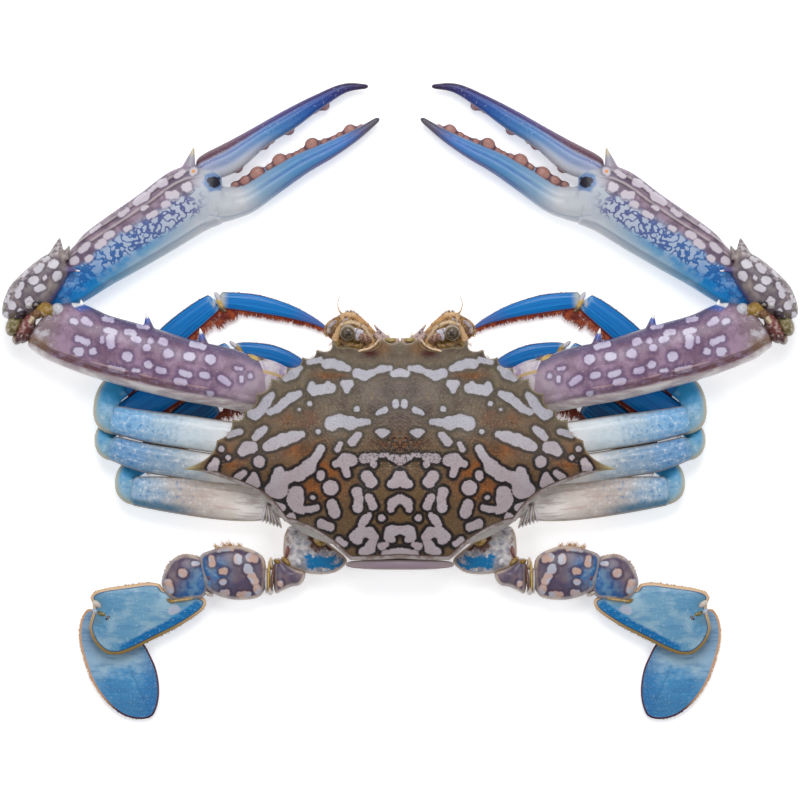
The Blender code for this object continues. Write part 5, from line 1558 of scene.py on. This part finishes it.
def bristles(name, groups, material, thickness):
    """One mesh of bristles on both sides of the crab, from groups of roots, ways and lengths."""
    roots = np.vstack([g[0] for g in groups])
    ways = np.vstack([g[1] for g in groups])
    longs = np.concatenate([g[2] for g in groups])
    roots = np.vstack([roots, roots * (-1, 1, 1)])
    ways = np.vstack([ways, ways * (-1, 1, 1)])
    longs = np.concatenate([longs, longs])
    mesh = bpy.data.meshes.new(name + "_roots")
    mesh.from_pydata((roots * MM).tolist(), [], [])
    mesh.attributes.new("way", "FLOAT_VECTOR", "POINT").data.foreach_set(
        "vector", ways.astype(np.float32).ravel(),
    )
    mesh.attributes.new("long", "FLOAT", "POINT").data.foreach_set("value", (longs * MM).astype(np.float32))
    grown = bpy.data.objects.new(name + "_roots", mesh)
    bpy.context.scene.collection.objects.link(grown)
    setup = grown.modifiers.new("bristles", "NODES")
    setup.node_group = bristle_tree
    sockets = {item.name: item.identifier for item in bristle_tree.interface.items_tree}
    setup[sockets["Thickness"]] = thickness * MM
    setup[sockets["Horn"]] = material
    real = bpy.data.meshes.new_from_object(grown.evaluated_get(bpy.context.evaluated_depsgraph_get()))
    bpy.data.objects.remove(grown)
    place = np.zeros(len(real.vertices) * 3)
    real.attributes["root"].data.foreach_get("vector", place)
    place = place.reshape(-1, 3)
    corners = np.zeros(len(real.loops), int)
    real.loops.foreach_get("vertex_index", corners)
    flat = np.column_stack([place[:, 0] / 0.32 + 0.5, place[:, 1] / 0.32 + 0.5])
    flat += 0.0015 * np.column_stack([np.cos(np.arange(len(flat)) * 1.9), np.sin(np.arange(len(flat)) * 1.9)])
    layer = real.uv_layers.new(name="OFBake")
    layer.data.foreach_set("uv", flat[corners].astype(np.float32).ravel())
    made = bpy.data.objects.new(name, real)
    bpy.context.scene.collection.objects.link(made)
    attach(made, "root")


def horn(name, first, second):
    finish = Finish(name, roughness=0.5)
    colour = finish.mix(first, second, (finish.noise(2.2, 3, 0.6), 0.4, 0.6))
    return finish.done(colour)


def edge_of(key, side, first=0.0, last=1.0, inset=0.0, count=60):
    """A line of x, y, z along one edge of a walking leg's piece."""
    fine = along_curve([tuple(s) for s in LEG_PIECES[key]], count)
    slope = np.gradient(fine[:, :2], axis=0)
    slope /= np.linalg.norm(slope, axis=1)[:, None]
    right = np.column_stack([slope[:, 1], -slope[:, 0]])
    flat = fine[:, :2] + right * side * (fine[:, 3:4] / 2 - inset)
    line = np.column_stack([flat, fine[:, 2]])
    return line[int(first * (count - 1)):int(last * (count - 1)) + 1]


groups = []
for k, (key, first, last, long) in enumerate((
    ("leg2_dactyl", 0.02, 0.97, 1.9), ("leg2_propodus", 0.35, 1.0, 3.2), ("leg3_dactyl", 0.02, 0.95, 1.3),
    ("leg3_propodus", 0.0, 1.0, 2.0), ("leg4_propodus", 0.0, 1.0, 2.2), ("leg4_dactyl", 0.0, 0.9, 4.6),
)):
    groups.append(
        fringe(edge_of(key, -1, first, last, 0.4)[::-1], 0.08, long, spread=0.3, rows=2, seed=20 + k),
    )
groups.append(
    fringe(
        [(58.4, 31.4, 2), (61.6, 31.6, 2), (63.4, 30.4, 2), (66.4, 27.4, 2)], 0.06, 3.2, spread=0.3, rows=2,
        seed=33,
    ),
)
for k, (key, long) in enumerate((("leg2_dactyl", 0.5), ("leg2_propodus", 0.45), ("leg3_dactyl", 0.4))):
    line = edge_of(key, 1, 0.1, 0.9, 0.3)
    groups.append(fringe(line, 0.35, long, spread=0.5, seed=40 + k))
rust_horn = horn("rust bristle", (176, 84, 48), (124, 42, 30))
bristles("leg_fringes", groups, rust_horn, 0.17)

groups = [
    fringe(
        [(65.6, -53.4, 9), (61, -52.6, 9.4), (56, -53, 9.2)], 0.28, 2.6, lean=-34, spread=0.22, rows=2,
        seed=60,
    ),
    fringe(
        [(84, -61, 8.6), (81.6, -57.4, 8.8), (77, -55.4, 9), (72, -56.2, 8.6)], 0.25, 0.7, lean=-20,
        seed=61,
    ),
    fringe(
        [(110.6, -71, 6.8), (109, -68.6, 6.8), (100, -66.6, 6.8), (90, -65.4, 6.8), (85.4, -66.6, 6.8)],
        0.2, 0.45, seed=62,
    ),
    fringe(
        [
            (69.6, -72.4, 5.6), (71.2, -75.4, 5.6), (80, -81.3, 5.6), (90, -86.3, 5.8), (99, -90.4, 5.8),
            (105, -90.2, 5.8),
        ],
        0.2, 0.45, seed=63,
    ),
    fringe(
        [
            (89.2, -113.4, 1.4), (96, -113.8, 1.4), (104, -109, 1.4), (110, -100.6, 1.4), (113.8, -90, 1.4),
            (114.6, -82, 1.4), (113.4, -77, 1.4),
        ],
        0.22, 0.4, seed=64,
    ),
]
tan_horn = horn("tan bristle", (204, 158, 100), (176, 130, 80))
bristles("paddle_fringes", groups, tan_horn, 0.16)

groups = [
    fringe(
        [
            (25.8, 22.6, 14.6), (25.8, 25.6, 15), (23.6, 28, 15.4), (20.6, 30, 15.8), (17.4, 31.4, 15.4),
            (14.6, 29.2, 15), (11.6, 25.4, 14), (9.2, 22.6, 13),
        ],
        0.1, 1.2, spread=0.6, rise=0.2, rows=2, seed=70,
    ),
    fringe(
        [(24, 24, 16.4), (21.6, 27, 17.4), (17, 28.4, 17.8), (13, 26, 17.2), (10.4, 23, 16.4)], 0.12, 1.3,
        spread=0.8, rise=0.5, seed=71,
    ),
    fringe([(21.6, 20.6, 17.6), (19.6, 21.2, 18), (17, 20.4, 18)], 0.08, 1.1, spread=0.7, rise=0.4, seed=72),
    fringe([(9, 22.4, 17.2), (6.4, 22.8, 17), (3.6, 21.6, 17)], 0.16, 2.2, spread=0.35, rise=0.2, seed=73),
    fringe(
        [(21.8, 19.4, 16.6), (18.6, 20, 17), (15.6, 19.6, 17)], 0.06, 1.7, spread=0.6, rise=0.5, rows=2,
        seed=76,
    ),
    fringe(
        [(9.4, 20.4, 18), (11.6, 22.8, 18.6), (14.2, 25.6, 18.6), (17, 27, 18.6)], 0.1, 1.0, spread=0.9,
        rise=0.8, rows=2, seed=77,
    ),
    fringe(
        [(56, 15.2, 14), (53, 15.6, 13.8), (49.6, 14.4, 13), (45, 11.4, 12)], 0.16, 1.5, spread=0.5,
        rise=0.3, seed=74,
    ),
]
for k, (a, b) in enumerate(zip(SIDE_TEETH, SIDE_TEETH[1:])):
    middle = ((a[0] + b[0]) / 2 - 1.4, (a[1] + b[1]) / 2 - 1.4, 18.6)
    groups.append(
        fringe(
            [(b[0] - 0.8, b[1] - 0.8, 18.6), middle, (a[0] - 0.8, a[1] - 0.8, 18.6)], 0.6, 1.2, spread=0.5,
            rise=-0.1, seed=80 + k,
        ),
    )
blond_horn = horn("blond hair", (186, 152, 96), (126, 92, 56))
bristles("beards", groups, blond_horn, 0.08)

# ------------------------------------------------------------------ floor, light and camera
# The model lies on a plain white table under broad soft lamps, and is looked at from straight
# above.

floor_mesh = bpy.data.meshes.new("floor")
floor_mesh.from_pydata([(-2, -2, 0), (2, -2, 0), (2, 2, 0), (-2, 2, 0)], [], [(0, 1, 2, 3)])
floor_material = bpy.data.materials.new("white table")
floor_material.use_nodes = True
floor_shader = floor_material.node_tree.nodes["Principled BSDF"]
floor_shader.inputs["Base Color"].default_value = (0.975, 0.98, 0.985, 1)
floor_shader.inputs["Roughness"].default_value = 0.9
floor_shader.inputs["Specular IOR Level"].default_value = 0.0
floor_shader.inputs["Emission Color"].default_value = (0.98, 0.985, 1.0, 1)
floor_shader.inputs["Emission Strength"].default_value = 0.4
floor_mesh.materials.append(floor_material)
floor = bpy.data.objects.new("floor", floor_mesh)
floor.location.z = -0.0002
bpy.context.scene.collection.objects.link(floor)


def lamp(name, place, size, watts, tint=(1, 1, 1)):
    data = bpy.data.lights.new(name, "AREA")
    data.shape, data.size, data.energy, data.color = "DISK", size, watts, tint
    made = bpy.data.objects.new(name, data)
    made.location = place
    made.rotation_euler = Vector(place).to_track_quat("Z", "Y").to_euler()
    bpy.context.scene.collection.objects.link(made)


lamp("key", (0.0, 0.75, 1.05), 0.9, 9.6)
lamp("left", (-1.0, -0.1, 0.95), 0.9, 4.4)
lamp("right", (1.0, -0.1, 0.95), 0.9, 4.4)
world = bpy.data.worlds.new("studio")
bpy.context.scene.world = world
world.use_nodes = True
world.node_tree.nodes["Background"].inputs["Color"].default_value = (0.92, 0.96, 1.0, 1)
world.node_tree.nodes["Background"].inputs["Strength"].default_value = 0.27

camera_data = bpy.data.cameras.new("camera")
camera_data.lens, camera_data.sensor_width = 500, 36
camera = bpy.data.objects.new("camera", camera_data)
camera.location = (0, 0, 0.2857 * 500 / 36 + 0.009)
bpy.context.scene.collection.objects.link(camera)
bpy.context.scene.camera = camera
bpy.context.scene.view_settings.view_transform = "Standard"
